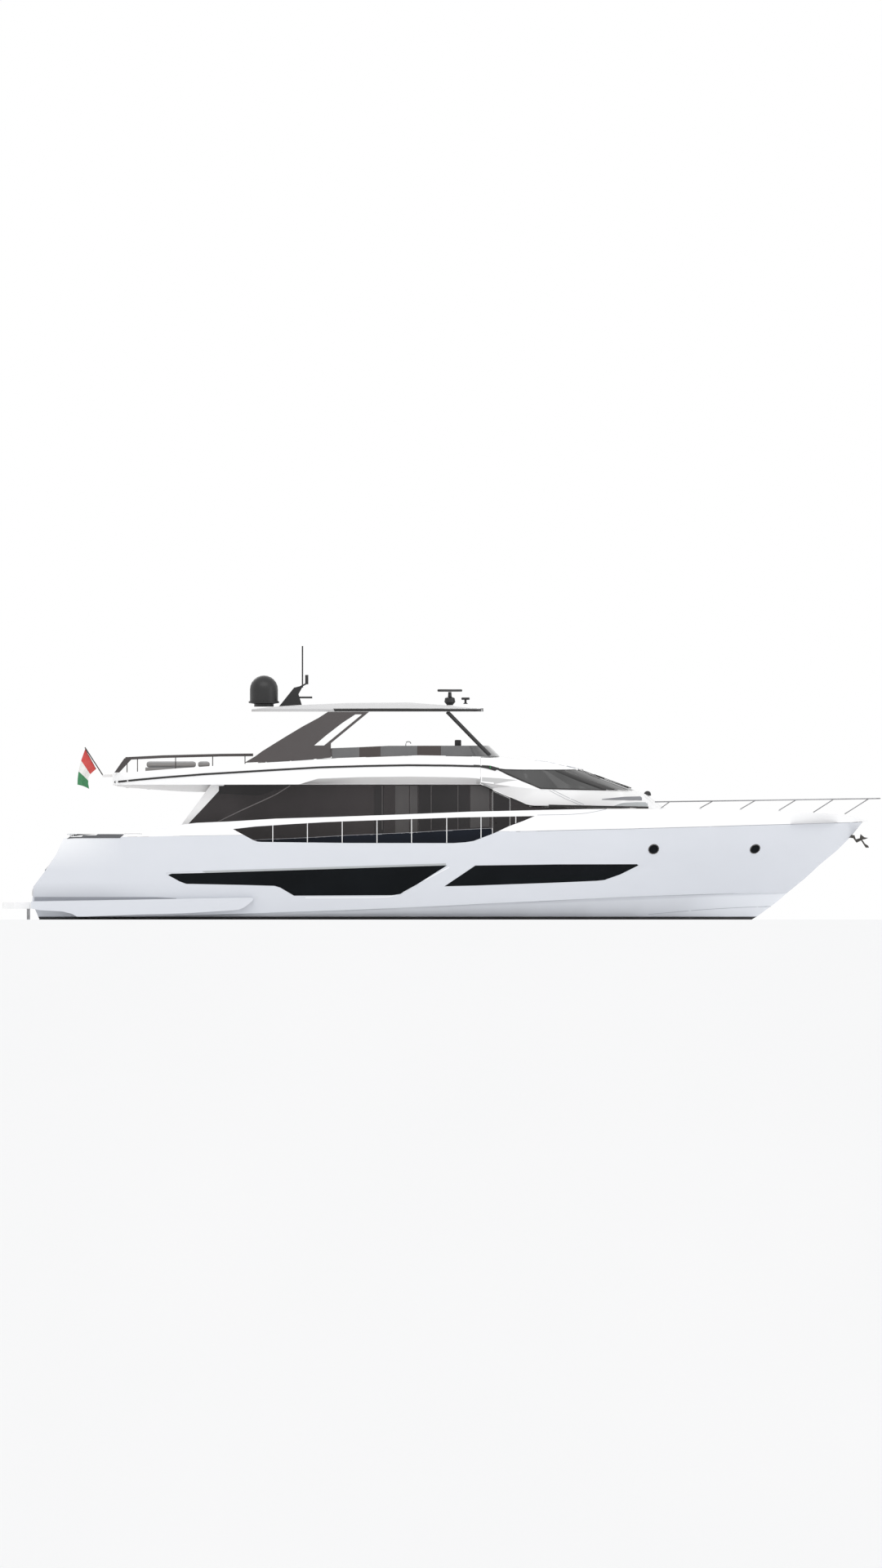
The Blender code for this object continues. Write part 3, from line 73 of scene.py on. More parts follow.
def make_camera():
    camera = bpy.data.objects.new("camera", bpy.data.cameras.new("camera"))
    bpy.context.scene.collection.objects.link(camera)
    camera.data.type = "ORTHO"
    camera.data.ortho_scale = VIEW_HEIGHT
    camera.data.clip_end = 400
    camera.location = (0, -CAMERA_DISTANCE, VIEW_CENTRE_Z)
    camera.rotation_euler = (radians(90), 0, 0)
    bpy.context.scene.camera = camera


def make_light(name, place, target, size, power):
    light = bpy.data.objects.new(name, bpy.data.lights.new(name, "AREA"))
    light.data.shape = "RECTANGLE"
    light.data.size = size[0]
    light.data.size_y = size[1]
    light.data.energy = power
    light.location = place
    light.rotation_euler = (Vector(target) - Vector(place)).to_track_quat("-Z", "Y").to_euler()
    bpy.context.scene.collection.objects.link(light)


def make_setting():
    world = bpy.data.worlds.new("studio")
    world.use_nodes = True
    backdrop = world.node_tree.nodes["Background"]
    backdrop.inputs["Color"].default_value = (1, 1, 1, 1)
    backdrop.inputs["Strength"].default_value = 1.0
    bpy.context.scene.world = world
    bpy.context.scene.view_settings.view_transform = "Standard"
    make_light("high_soft_light", (-4, -26, 34), (0, 0, 2), (40, 16), 4300)
    make_light("bow_light", (34, -22, 16), (4, 0, 2), (16, 12), 1500)
    make_light("port_light", (-8, 34, 24), (0, 0, 2), (34, 14), 2600)
    floor = bpy.data.meshes.new("floor")
    bm = bmesh.new()
    bmesh.ops.create_cube(bm, size=1.0)
    bmesh.ops.scale(bm, vec=(2 * FLOOR_HALF, 2 * FLOOR_HALF, 40), verts=bm.verts)
    bmesh.ops.translate(bm, vec=(0, 0, -20), verts=bm.verts)
    bm.to_mesh(floor)
    bm.free()
    floor_object = bpy.data.objects.new("floor", floor)
    bpy.context.scene.collection.objects.link(floor_object)
    floor.materials.append(FINISH["floor"])


# Materials

class Finish:
    """A procedural material whose nodes read Object coordinates."""

    def __init__(self, name, color, roughness, **sockets):
        self.material = bpy.data.materials.new(name)
        self.material.use_nodes = True
        self.tree = self.material.node_tree
        self.shader = self.tree.nodes["Principled BSDF"]
        self.shader.inputs["Base Color"].default_value = (*color, 1)
        self.shader.inputs["Roughness"].default_value = roughness
        for socket, value in sockets.items():
            self.shader.inputs[socket.replace("_", " ").title().replace("Ior", "IOR")].default_value = value
        self.color = (*color, 1)
        self.roughness = roughness

    def node(self, kind, **settings):
        made = self.tree.nodes.new("ShaderNode" + kind)
        for key, value in settings.items():
            setattr(made, key, value)
        return made

    def link(self, source, target):
        self.tree.links.new(source, target)

    def place(self, stretch=(1, 1, 1)):
        """Object coordinates, scaled along each axis."""
        coordinates = self.node("TexCoord")
        mapping = self.node("Mapping")
        mapping.inputs["Scale"].default_value = stretch
        self.link(coordinates.outputs["Object"], mapping.inputs["Vector"])
        return mapping.outputs["Vector"]

    def axis(self, name):
        split = self.node("SeparateXYZ")
        self.link(self.place(), split.inputs[0])
        return split.outputs[name]

    def noise(self, scale, stretch=(1, 1, 1), detail=3.0):
        texture = self.node("TexNoise")
        texture.inputs["Scale"].default_value = scale
        texture.inputs["Detail"].default_value = detail
        self.link(self.place(stretch), texture.inputs["Vector"])
        return texture.outputs[0]

    def maths(self, operation, first, second=0.0):
        made = self.node("Math", operation=operation)
        for socket, value in zip(made.inputs, (first, second)):
            if isinstance(value, (int, float)):
                socket.default_value = value
            else:
                self.link(value, socket)
        return made.outputs[0]

    def spread(self, value, low, high, out_low=0.0, out_high=1.0):
        """A value's stretch from low to high, turned into out_low to out_high."""
        made = self.node("MapRange")
        self.link(value, made.inputs["Value"])
        for socket, number in zip(("From Min", "From Max", "To Min", "To Max"),
                                  (low, high, out_low, out_high)):
            made.inputs[socket].default_value = number
        return made.outputs[0]

    def mix(self, share, first, second):
        made = self.node("Mix", data_type="RGBA")
        for index, value in ((0, share), (6, first), (7, second)):
            if isinstance(value, tuple):
                made.inputs[index].default_value = value
            elif isinstance(value, (int, float)):
                made.inputs[index].default_value = value
            else:
                self.link(value, made.inputs[index])
        return made.outputs[2]

    def set_color(self, output):
        self.link(output, self.shader.inputs["Base Color"])
        return self

    def set_roughness(self, output):
        self.link(output, self.shader.inputs["Roughness"])
        return self

    def bump(self, height, strength, distance):
        made = self.node("Bump")
        made.inputs["Strength"].default_value = strength
        made.inputs["Distance"].default_value = distance
        self.link(height, made.inputs["Height"])
        self.link(made.outputs[0], self.shader.inputs["Normal"])
        return self

    def mottled(self, amount, scale, rough_spread=0.05):
        """A little drift of tone and gloss, as on any painted or moulded surface."""
        drift = self.noise(scale)
        dark = tuple(c * (1 - amount) for c in self.color[:3]) + (1,)
        self.set_color(self.mix(drift, dark, self.color))
        low = max(self.roughness - rough_spread, 0.01)
        self.set_roughness(self.spread(self.noise(scale * 3), 0.3, 0.7, low,
                                       self.roughness + rough_spread))
        return self


def stripes(finish, coordinate, pitch, width):
    """1 on narrow lines that repeat along a coordinate, and 0 between them."""
    share = finish.maths("FRACT", finish.maths("DIVIDE", coordinate, pitch))
    return finish.maths("LESS_THAN", share, width / pitch)


def hull_paint():
    # Blue-grey hull paint with a random drift, a slightly darker tone low down and a black boot top, plus painted
    # light: a highlight on the aft quarter, lighter paint below the chine and shade on the aft tuck.
    finish = Finish("hull_paint", (0.628, 0.648, 0.692), 0.22, coat_weight=0.4, coat_roughness=0.08)
    height = finish.axis("Z")
    drift = finish.noise(0.35, (1, 1, 2))
    shaded = finish.mix(finish.spread(drift, 0.3, 0.7), (0.61, 0.63, 0.673, 1), finish.color)
    low = finish.mix(finish.spread(height, 0.2, 1.4), (0.62, 0.64, 0.683, 1), shaded)
    # painted highlight: the aft quarter turns lighter towards white near the transom, high up on the side
    aft = finish.spread(finish.axis("X"), -11.9, -9.7, 1.0, 0.0)
    highlight_height = finish.spread(height, 1.5, 2.4)
    low = finish.mix(finish.maths("MULTIPLY", aft, highlight_height), low, (0.83, 0.84, 0.86, 1))
    # painted light: below the chine the paint is made lighter, to offset the shade on the downward-facing bottom
    chine = finish.maths("ADD", finish.maths("MULTIPLY", finish.axis("X"), 0.0396), 0.40)
    under = finish.spread(finish.maths("SUBTRACT", height, chine), -0.05, 0.01, 1.0, 0.0)
    low = finish.mix(under, low, (0.74, 0.76, 0.8, 1))
    # painted shade: a darker band on the aft quarter at z 0.55 to 1.15, where the side tucks in and faces down
    foot = finish.maths("MULTIPLY", finish.spread(height, 0.72, 1.15, 1.0, 0.0),
                        finish.spread(height, 0.55, 0.7))
    foot = finish.maths("MULTIPLY", foot, finish.spread(finish.axis("X"), -10.4, -8.8, 1.0, 0.0))
    low = finish.mix(finish.maths("MULTIPLY", foot, 0.5), low, (0.42, 0.435, 0.47, 1))
    boot = finish.maths("GREATER_THAN", height, BOOT_TOP_Z)
    painted = finish.mix(boot, (0.012, 0.012, 0.014, 1), low)
    finish.set_color(painted)
    finish.set_roughness(finish.spread(finish.noise(2.0), 0.3, 0.7, 0.16, 0.26))
    return finish.bump(finish.noise(1.1, (1, 1, 1), 1.0), 0.12, 0.01)


def gelcoat(name, color):
    finish = Finish(name, color, 0.22, coat_weight=0.5, coat_roughness=0.08)
    finish.mottled(0.035, 0.8)
    return finish.bump(finish.noise(60.0, detail=2.0), 0.04, 0.002)


def matt_white(name, color):
    """Fine non-slip gelcoat with little gloss, so it keeps its colour even at a grazing angle. Its callers give
    white parts a grey colour here, as painted shade.
    """
    finish = Finish(name, color, 0.65, specular_ior_level=0.08)
    finish.mottled(0.03, 0.8)
    return finish.bump(finish.noise(220.0, detail=2.0), 0.15, 0.0015)


def teak():
    finish = Finish("teak_planks", (0.42, 0.27, 0.145), 0.62)
    grain = finish.noise(9.0, (0.6, 14, 14), 6.0)
    board = finish.noise(1.0, (0.25, 15.4, 0.1), 0.0)
    light = finish.mix(grain, (0.30, 0.175, 0.085, 1), (0.50, 0.335, 0.19, 1))
    toned = finish.mix(finish.spread(board, 0.3, 0.7, 0.0, 0.55), light, (0.40, 0.30, 0.20, 1))
    caulk = stripes(finish, finish.axis("Y"), 0.065, 0.007)
    finish.set_color(finish.mix(caulk, toned, (0.015, 0.014, 0.013, 1)))
    finish.set_roughness(finish.spread(grain, 0.2, 0.8, 0.5, 0.75))
    height = finish.maths("SUBTRACT", finish.maths("MULTIPLY", grain, 0.3), caulk)
    return finish.bump(height, 0.5, 0.004)


def tinted_glass(name, color, alpha, shine=0.22):
    finish = Finish(name, color, 0.05, alpha=alpha, specular_ior_level=shine)
    drift = finish.noise(0.6, (1, 1, 0.4))
    dark = tuple(c * 0.72 for c in color) + (1,)
    finish.set_color(finish.mix(finish.spread(drift, 0.35, 0.65), dark, finish.color))
    finish.set_roughness(finish.spread(finish.noise(3.0), 0.3, 0.7, 0.03, 0.08))
    return finish


def shield_glass():
    """The fly windshield in grey glass, painted a darker brown in the fields where furniture in shade stands behind
    its panes.
    """
    finish = Finish("shield_glass", (0.13, 0.13, 0.13), 0.06, alpha=0.93, specular_ior_level=0.3)
    # painted shade: darker fields over the furniture in shade behind the glass
    along = finish.axis("X")
    brown = finish.maths("MULTIPLY", finish.maths("GREATER_THAN", along, -2.5),
                         finish.maths("LESS_THAN", along, -1.85))
    second = finish.maths("MULTIPLY", finish.maths("GREATER_THAN", along, -0.73),
                          finish.maths("LESS_THAN", along, 0.0))
    either = finish.maths("MAXIMUM", brown, second)
    mottle = finish.noise(1.5)
    grey = finish.mix(mottle, (0.11, 0.11, 0.115, 1), (0.155, 0.155, 0.155, 1))
    finish.set_color(finish.mix(either, grey, (0.062, 0.052, 0.05, 1)))
    finish.set_roughness(finish.spread(mottle, 0.3, 0.7, 0.04, 0.1))
    return finish


def satin(name, color, roughness, amount=0.12, metallic=0.0):
    finish = Finish(name, color, roughness, metallic=metallic)
    finish.mottled(amount, 1.3)
    return finish.bump(finish.noise(180.0, detail=2.0), 0.08, 0.0015)


def metal(name, color, roughness, stretch=(1, 1, 1)):
    finish = Finish(name, color, roughness, metallic=1.0)
    scratch = finish.noise(40.0, stretch, 4.0)
    worn = tuple(c * 0.8 for c in color) + (1,)
    finish.set_color(finish.mix(scratch, worn, finish.color))
    finish.set_roughness(finish.spread(scratch, 0.3, 0.7, roughness * 0.7, roughness * 1.4))
    return finish.bump(scratch, 0.05, 0.001)


def woven(name, color, thread=0.0035):
    """Outdoor cloth with a plain weave, seen as bump and as a fine change of tone."""
    finish = Finish(name, color, 0.9, sheen_weight=0.25, sheen_roughness=0.5)
    along = finish.maths("SINE", finish.maths("MULTIPLY", finish.axis("X"), pi / thread))
    across = finish.maths("SINE", finish.maths("MULTIPLY", finish.axis("Y"), pi / thread))
    up = finish.maths("SINE", finish.maths("MULTIPLY", finish.axis("Z"), pi / thread))
    weave = finish.maths("ADD", finish.maths("MULTIPLY", along, across), up)
    drift = finish.noise(2.5, detail=5.0)
    dark = tuple(c * 0.84 for c in color) + (1,)
    tone = finish.maths("ADD", finish.maths("MULTIPLY", weave, 0.12), drift)
    finish.set_color(finish.mix(tone, dark, finish.color))
    finish.set_roughness(finish.spread(drift, 0.3, 0.7, 0.82, 0.95))
    return finish.bump(finish.maths("ADD", weave, finish.maths("MULTIPLY", drift, 3.0)), 0.35, 0.0012)


def antifouling():
    finish = Finish("antifouling", (0.016, 0.016, 0.02), 0.75)
    finish.mottled(0.4, 2.2, 0.1)
    return finish.bump(finish.noise(45.0, detail=5.0), 0.3, 0.003)


def varnished_wood():
    finish = Finish("varnished_wood", (0.16, 0.085, 0.05), 0.3, coat_weight=0.7, coat_roughness=0.08)
    rings = finish.noise(5.0, (14, 14, 0.7), 7.0)
    finish.set_color(finish.mix(rings, (0.075, 0.038, 0.022, 1), (0.22, 0.125, 0.07, 1)))
    finish.set_roughness(finish.spread(rings, 0.2, 0.8, 0.24, 0.4))
    return finish.bump(rings, 0.12, 0.001)


def flag_cloth():
    """Three bands across the hoist, read from the cloth's own UV map."""
    finish = Finish("flag_cloth", (0.62, 0.05, 0.04), 0.85, sheen_weight=0.3)
    split = finish.node("SeparateXYZ")
    finish.link(finish.node("TexCoord").outputs["UV"], split.inputs[0])
    drop = split.outputs["Y"]
    lower = finish.mix(finish.maths("GREATER_THAN", drop, 0.36), (0.015, 0.22, 0.075, 1),
                       (0.86, 0.86, 0.84, 1))
    bands = finish.mix(finish.maths("GREATER_THAN", drop, 0.66), lower, (0.62, 0.045, 0.04, 1))
    thread = finish.noise(14.0, (1, 1, 1), 5.0)
    finish.set_color(finish.mix(finish.spread(thread, 0.2, 0.8, 0.0, 0.22), bands, (0.35, 0.33, 0.3, 1)))
    finish.set_roughness(finish.spread(thread, 0.3, 0.7, 0.78, 0.9))
    return finish.bump(finish.noise(260.0), 0.3, 0.001)


def floor_finish():
    finish = Finish("studio_floor", (0.95, 0.95, 0.955), 0.6)
    drift = finish.noise(0.12)
    finish.set_color(finish.mix(drift, (0.92, 0.925, 0.93, 1), finish.color))
    return finish


MAKERS = {
    "hull_paint": hull_paint,
    "gelcoat": lambda: gelcoat("white_gelcoat", (0.84, 0.84, 0.845)),
    "shade_grey": lambda: satin("nose_shade_grey", (0.23, 0.235, 0.255), 0.5),
    "pane_dark": lambda: tinted_glass("pane_dark", (0.026, 0.024, 0.025), 1.0),
    "pane_light": lambda: tinted_glass("pane_light", (0.078, 0.074, 0.074), 1.0),
    # painted shade: the white hardtop is given a grey colour
    "roof_shaded_white": lambda: matt_white("roof_shaded_white", (0.56, 0.56, 0.565)),
    "cap_grey": lambda: satin("cap_grey", (0.085, 0.087, 0.095), 0.45),
    # painted shade: grey for the shaded underside of the fly overhang
    "soffit_painted_shade": lambda: matt_white("soffit_painted_shade", (0.5, 0.5, 0.5)),
    "crease_shade_grey": lambda: satin("crease_shade_grey", (0.42, 0.44, 0.48), 0.4),
    "base_grey": lambda: satin("furniture_grey", (0.3, 0.3, 0.305), 0.5),
    "rail_steel": lambda: metal("rail_steel", (0.3, 0.3, 0.31), 0.25),
    "lip_highlight_white": lambda: gelcoat("lip_highlight_white", (0.82, 0.83, 0.85)),
    "recess_shade_strip": lambda: satin("recess_shade_strip", (0.3, 0.315, 0.35), 0.5),
    "bevel_shade_grey": lambda: satin("bevel_shade_grey", (0.42, 0.44, 0.45), 0.45),
    "glass_line": lambda: satin("glass_line", (0.12, 0.11, 0.11), 0.3),
    "deep_blue": lambda: tinted_glass("deep_blue_panel", (0.012, 0.016, 0.026), 1.0, 0.1),
    # grey lines for real joints and trims, and for painted shade at the knuckle and the bulwark crease
    "joint_and_shade_line": lambda: satin("joint_and_shade_line", (0.36, 0.37, 0.4), 0.45),
    "teak": teak,
    "house_glass": lambda: tinted_glass("house_glass", (0.044, 0.039, 0.04), 0.9),
    "hull_glass": lambda: tinted_glass("hull_glass", (0.0045, 0.006, 0.0075), 1.0, 0.07),
    "screen_glass": lambda: tinted_glass("screen_glass", (0.085, 0.085, 0.085), 1.0),
    "shield_glass": shield_glass,
    "arch_bronze": lambda: satin("arch_bronze", (0.05, 0.042, 0.042), 0.36),
    "gear_black": lambda: satin("gear_black", (0.0115, 0.0115, 0.012), 0.42),
    "line_black": lambda: satin("line_black", (0.012, 0.011, 0.011), 0.35),
    "stainless": lambda: metal("stainless_steel", (0.62, 0.63, 0.65), 0.16, (1, 8, 8)),
    "dark_steel": lambda: metal("dark_steel", (0.09, 0.085, 0.08), 0.3),
    "bronze": lambda: metal("cast_bronze", (0.55, 0.34, 0.15), 0.32),
    "antifouling": antifouling,
    "enamel": lambda: satin("engine_enamel", (0.6, 0.61, 0.62), 0.38),
    "wood": varnished_wood,
    "canvas": lambda: woven("grey_canvas", (0.36, 0.36, 0.365)),
    "leather": lambda: woven("interior_cloth", (0.42, 0.37, 0.32), 0.0028),
    "piping": lambda: woven("piping_cord", (0.3, 0.29, 0.28), 0.0025),
    "flag_cloth": flag_cloth,
    "rubber": lambda: satin("black_rubber", (0.02, 0.02, 0.02), 0.7),
    "screen_black": lambda: tinted_glass("display_glass", (0.004, 0.005, 0.007), 1.0),
    "red_lens": lambda: satin("red_lens", (0.5, 0.01, 0.01), 0.2),
    "green_lens": lambda: satin("green_lens", (0.01, 0.3, 0.06), 0.2),
    "clear_lens": lambda: satin("clear_lens", (0.7, 0.72, 0.75), 0.15),
    "floor": floor_finish,
}
FINISH = {key: maker() for key, maker in MAKERS.items()}
FINISH = {key: made.material for key, made in FINISH.items()}


# Making and placing pieces

body_of_node = {}
for body_name, members in frame["record"]["behaviour"]["bodies"].items():
    for member in members:
        body_of_node[member] = body_name


def new_piece(name, mesh, finish, body="root"):
    """Puts a finished mesh in the scene, on its body."""
    piece = bpy.data.objects.new(name, mesh)
    bpy.context.scene.collection.objects.link(piece)
    if finish:
        mesh.materials.append(FINISH[finish])
    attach(piece, body)
    return piece


def mesh_of(bm, name, smooth_angle=None):
    """Ends a bmesh as a mesh, its edges sharper than the angle left hard."""
    if smooth_angle is not None:
        limit = radians(smooth_angle)
        for face in bm.faces:
            face.smooth = True
        for edge in bm.edges:
            edge.smooth = len(edge.link_faces) == 2 and edge.calc_face_angle(0.0) < limit
    mesh = bpy.data.meshes.new(name)
    bm.to_mesh(mesh)
    bm.free()
    return mesh


def cad_copy(node):
    """A bmesh of a CAD node, its loose triangles merged."""
    bm = bmesh.new()
    bm.from_mesh(frame["nodes"][node].data)
    bmesh.ops.remove_doubles(bm, verts=bm.verts, dist=MERGE)
    bmesh.ops.dissolve_degenerate(bm, edges=bm.edges, dist=MERGE / 4)
    return bm


def dress(node, finishes, smooth_angle=32, choose=None):
    """A smooth-shaded skin in the place of a CAD node. choose gives a face's finish by its index."""
    bm = cad_copy(node)
    if choose:
        for face in bm.faces:
            face.material_index = choose(face.calc_center_median(), face.normal)
    mesh = mesh_of(bm, node + "_skin", smooth_angle)
    skin = new_piece(node + "_skin", mesh, None, body_of_node[node])
    for finish in finishes:
        mesh.materials.append(FINISH[finish])
    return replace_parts(skin, node)


def repaint(node, finish):
    """Gives a CAD node that shows as it is its own finish."""
    mesh = frame["nodes"][node].data
    mesh.materials.clear()
    mesh.materials.append(FINISH[finish])


def surface_of(*nodes):
    """A tree that finds points on the surfaces of CAD nodes."""
    bm = bmesh.new()
    for node in nodes:
        bm.from_mesh(frame["nodes"][node].data)
    tree = BVHTree.FromBMesh(bm)
    bm.free()
    return tree


def side_hit(tree, x, z, side, default=None):
    """How far out a surface lies at a place of the side view, or the default."""
    point = tree.ray_cast(Vector((x, side * 9, z)), Vector((0, -side, 0)))[0]
    return default if point is None else point.y


def top_hit(tree, x, y, default=None):
    point = tree.ray_cast(Vector((x, y, 14)), Vector((0, 0, -1)))[0]
    return default if point is None else point.z


def along(points, step):
    """Points no further apart than a step along a polyline."""
    made = [points[0]]
    for start, end in zip(points, points[1:]):
        count = max(1, int((Vector(end) - Vector(start)).length / step + 0.999))
        for i in range(1, count + 1):
            made.append(tuple(Vector(start).lerp(Vector(end), i / count)))
    return made


def at_share(points, share):
    """The point at a share of a polyline's length."""
    lengths = [(Vector(b) - Vector(a)).length for a, b in zip(points, points[1:])]
    left = share * sum(lengths)
    for (start, end), length in zip(zip(points, points[1:]), lengths):
        if left <= length:
            return tuple(Vector(start).lerp(Vector(end), left / length if length else 0))
        left -= length
    return tuple(points[-1])


def close_grid(bm, front, back):
    """Joins two grids of points into one closed slab."""
    rows = len(front)
    columns = len(front[0])
    faces = [[bm.verts.new(p) for p in row] for row in front]
    backs = [[bm.verts.new(p) for p in row] for row in back]
    for i in range(rows - 1):
        for j in range(columns - 1):
            bm.faces.new((faces[i][j], faces[i][j + 1], faces[i + 1][j + 1], faces[i + 1][j]))
            bm.faces.new((backs[i][j], backs[i + 1][j], backs[i + 1][j + 1], backs[i][j + 1]))
    for i in range(rows - 1):
        for j in (0, columns - 1):
            bm.faces.new((faces[i][j], faces[i + 1][j], backs[i + 1][j], backs[i][j]))
    for j in range(columns - 1):
        for i in (0, rows - 1):
            bm.faces.new((faces[i][j], faces[i][j + 1], backs[i][j + 1], backs[i][j]))


def side_panel(bm, tree, upper, lower, proud=0.004, depth=0.012, step=0.12, rows=3, sides=SIDES):
    """A thin panel laid on a surface between two (x, z) lines of the side view."""
    length = sum((Vector(b) - Vector(a)).length for a, b in zip(upper, upper[1:]))
    count = max(2, int(length / step) + 1)
    for side in sides:
        front = []
        back = []
        for i in range(count):
            share = i / (count - 1)
            top = at_share(upper, share)
            low = at_share(lower, share)
            ahead = []
            behind = []
            for j in range(rows):
                x, z = Vector(top).lerp(Vector(low), j / (rows - 1))
                y = side_hit(tree, x, z, side)
                if y is None:
                    near = tree.find_nearest(Vector((x, side * 2.6, z)))[0]
                    y = near.y
                ahead.append((x, y + side * proud, z))
                behind.append((x, y - side * depth, z))
            front.append(ahead)
            back.append(behind)
        close_grid(bm, front, back)


def side_line(bm, tree, points, width, **settings):
    """A thin line along an (x, z) polyline, laid on a surface."""
    upper = []
    lower = []
    for i, point in enumerate(points):
        before = Vector(points[max(i - 1, 0)])
        after = Vector(points[min(i + 1, len(points) - 1)])
        run = (after - before).normalized()
        across = Vector((-run.y, run.x)) * (width / 2)
        upper.append(tuple(Vector(point) + across))
        lower.append(tuple(Vector(point) - across))
    side_panel(bm, tree, upper, lower, rows=2, **settings)


def end_closed(bm, name, finish, smooth_angle=32, body="root"):
    """Turns loose closed slabs outward and places them as one piece."""
    bmesh.ops.remove_doubles(bm, verts=bm.verts, dist=1e-6)
    bmesh.ops.recalc_face_normals(bm, faces=bm.faces)
    return new_piece(name, mesh_of(bm, name, smooth_angle), finish, body)


def add_tube(bm, points, radius, sides=10, closed=False):
    """A round tube along points, capped unless it is closed."""
    rings = []
    count = len(points)
    for i, point in enumerate(points):
        before = points[(i - 1) % count] if closed or i > 0 else point
        after = points[(i + 1) % count] if closed or i < count - 1 else point
        run = (Vector(after) - Vector(before)).normalized()
        guide = Vector((0, 0, 1)) if abs(run.z) < 0.9 else Vector((1, 0, 0))
        right = run.cross(guide).normalized()
        up = right.cross(run)
        size = radius[i] if isinstance(radius, (list, tuple)) else radius
        rings.append([bm.verts.new(Vector(point) + right * (size * cos(2 * pi * k / sides))
                                   + up * (size * sin(2 * pi * k / sides))) for k in range(sides)])
    pairs = list(zip(rings, rings[1:]))
    if closed:
        pairs.append((rings[-1], rings[0]))
    for first, second in pairs:
        for k in range(sides):
            bm.faces.new((first[k], first[(k + 1) % sides], second[(k + 1) % sides], second[k]))
    if not closed:
        bm.faces.new(rings[0][::-1])
        bm.faces.new(rings[-1])


def add_block(bm, low, high, bevel=0.01, turn=None, segments=2):
    """A box with rounded edges, turned about its centre if asked."""
    made = bmesh.ops.create_cube(bm, size=1.0)["verts"]
    low = Vector(low)
    high = Vector(high)
    bmesh.ops.scale(bm, vec=high - low, verts=made)
    if bevel:
        edges = list({edge for vert in made for edge in vert.link_edges})
        result = bmesh.ops.bevel(bm, geom=edges, offset=bevel, segments=segments, profile=0.5,
                                 affect="EDGES")
        made = list({vert for face in result["faces"] for vert in face.verts} | {v for v in made if v.is_valid})
    if turn:
        bmesh.ops.rotate(bm, verts=made, cent=(0, 0, 0), matrix=turn)
    bmesh.ops.translate(bm, vec=(low + high) / 2, verts=made)
    return made


def add_lathe(bm, profile, centre, steps=28, turn=None):
    """A turned shape from (radius, height) points, closed where the radius is zero."""
    rings = []
    for radius, height in profile:
        if radius < 1e-6:
            rings.append([bm.verts.new((0, 0, height))])
        else:
            rings.append([bm.verts.new((radius * cos(2 * pi * k / steps), radius * sin(2 * pi * k / steps),
                                        height)) for k in range(steps)])
    for first, second in zip(rings, rings[1:]):
        for k in range(steps):
            corners = [first[k % len(first)], first[(k + 1) % len(first)],
                       second[(k + 1) % len(second)], second[k % len(second)]]
            unique = list(dict.fromkeys(corners))
            if len(unique) > 2:
                bm.faces.new(unique)
    verts = [vert for ring in rings for vert in ring]
    if turn:
        bmesh.ops.rotate(bm, verts=verts, cent=(0, 0, 0), matrix=turn)
    bmesh.ops.translate(bm, vec=centre, verts=verts)


# Finishes of the CAD nodes

def hull_face(centre, normal):
    """Teak on the decks and stair treads, white in the cockpit, dark in the pockets."""
    if normal.z > 0.95 and centre.z > 0.75 and centre.x > -12.6:
        return 1
    inside = abs(centre.y) < 1.9 and -12.45 < centre.x < -5.3 and centre.z < 1.9
    if inside and abs(normal.y) + abs(normal.z) + abs(normal.x) > 0 and centre.z > -0.06:
        return 2 if normal.x > -0.5 or centre.x > -11.9 else 0
    return 0


def deck_top(level):
    def choose(centre, normal):
        return 1 if normal.z > 0.95 and abs(centre.z - level) < 0.01 else 0
    return choose


def dress_nodes():
    dress("hull", ("hull_paint", "teak", "gelcoat"), 28, hull_face)
    dress("fly_deck", ("gelcoat", "teak"), 30, deck_top(FLY_DECK_Z))
    dress("foredeck", ("gelcoat", "teak"), 30, deck_top(FOREDECK_Z))
    dress("swim_platform", ("gelcoat", "teak"), 30, deck_top(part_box("swim_platform")[1].z))
    for node in ("bulwarks", "deckhouse", "wheelhouse"):
        dress(node, ("gelcoat",), 30)
    # The hardtop's white gelcoat is grey here, as painted shade.
    dress("hardtop", ("roof_shaded_white",), 30)
    for side in ("port", "starboard"):
        dress("side_fairing_" + side, ("hull_paint",), 30)
        dress("hull_glass_aft_" + side, ("hull_glass",), 40)
        dress("hull_glass_fore_" + side, ("hull_glass",), 40)
        dress("side_glass_" + side, ("house_glass",), 40)
        dress("arch_" + side, ("arch_bronze",), 30)
        dress("forward_strut_" + side, ("gear_black",), 40)
        dress("propeller_" + side, ("bronze",), 40)
        dress("shaft_" + side, ("stainless",), 40)
        dress("rudder_" + side, ("antifouling",), 40)
        repaint("engine_" + side, "enamel")
        repaint("side_door_" + side, "pane_dark")
        repaint("saloon_door_" + side, "house_glass")
    dress("windscreen", ("screen_glass",), 40)
    dress("fly_windshield", ("shield_glass",), 40)
    dress("satellite_dome", ("gear_black",), 40)
    dress("mast", ("gear_black",), 40)
    dress("radar_pedestal", ("gear_black",), 40)
    dress("radar_scanner", ("gear_black",), 40)
    dress("bow_rail", ("rail_steel",), 60)
    dress("fly_rail", ("arch_bronze",), 60)
    dress("anchor", ("dark_steel",), 40)
    dress("windlass", ("stainless",), 40)
    dress("ensign_staff", ("dark_steel", "gelcoat"), 50, lambda centre, normal: centre.x > -10.36)
    for node, finish in (("garage_door", "gelcoat"), ("saloon_bulkhead", "arch_bronze"),
                         ("galley_bulkhead", "wood"), ("cockpit_table", "teak"),
                         ("fly_helm_console", "arch_bronze"), ("fly_bar", "gelcoat"),
                         ("lower_helm", "arch_bronze"), ("locker_lid", "gelcoat")):
        repaint(node, finish)



# Lines and panels laid on the sides

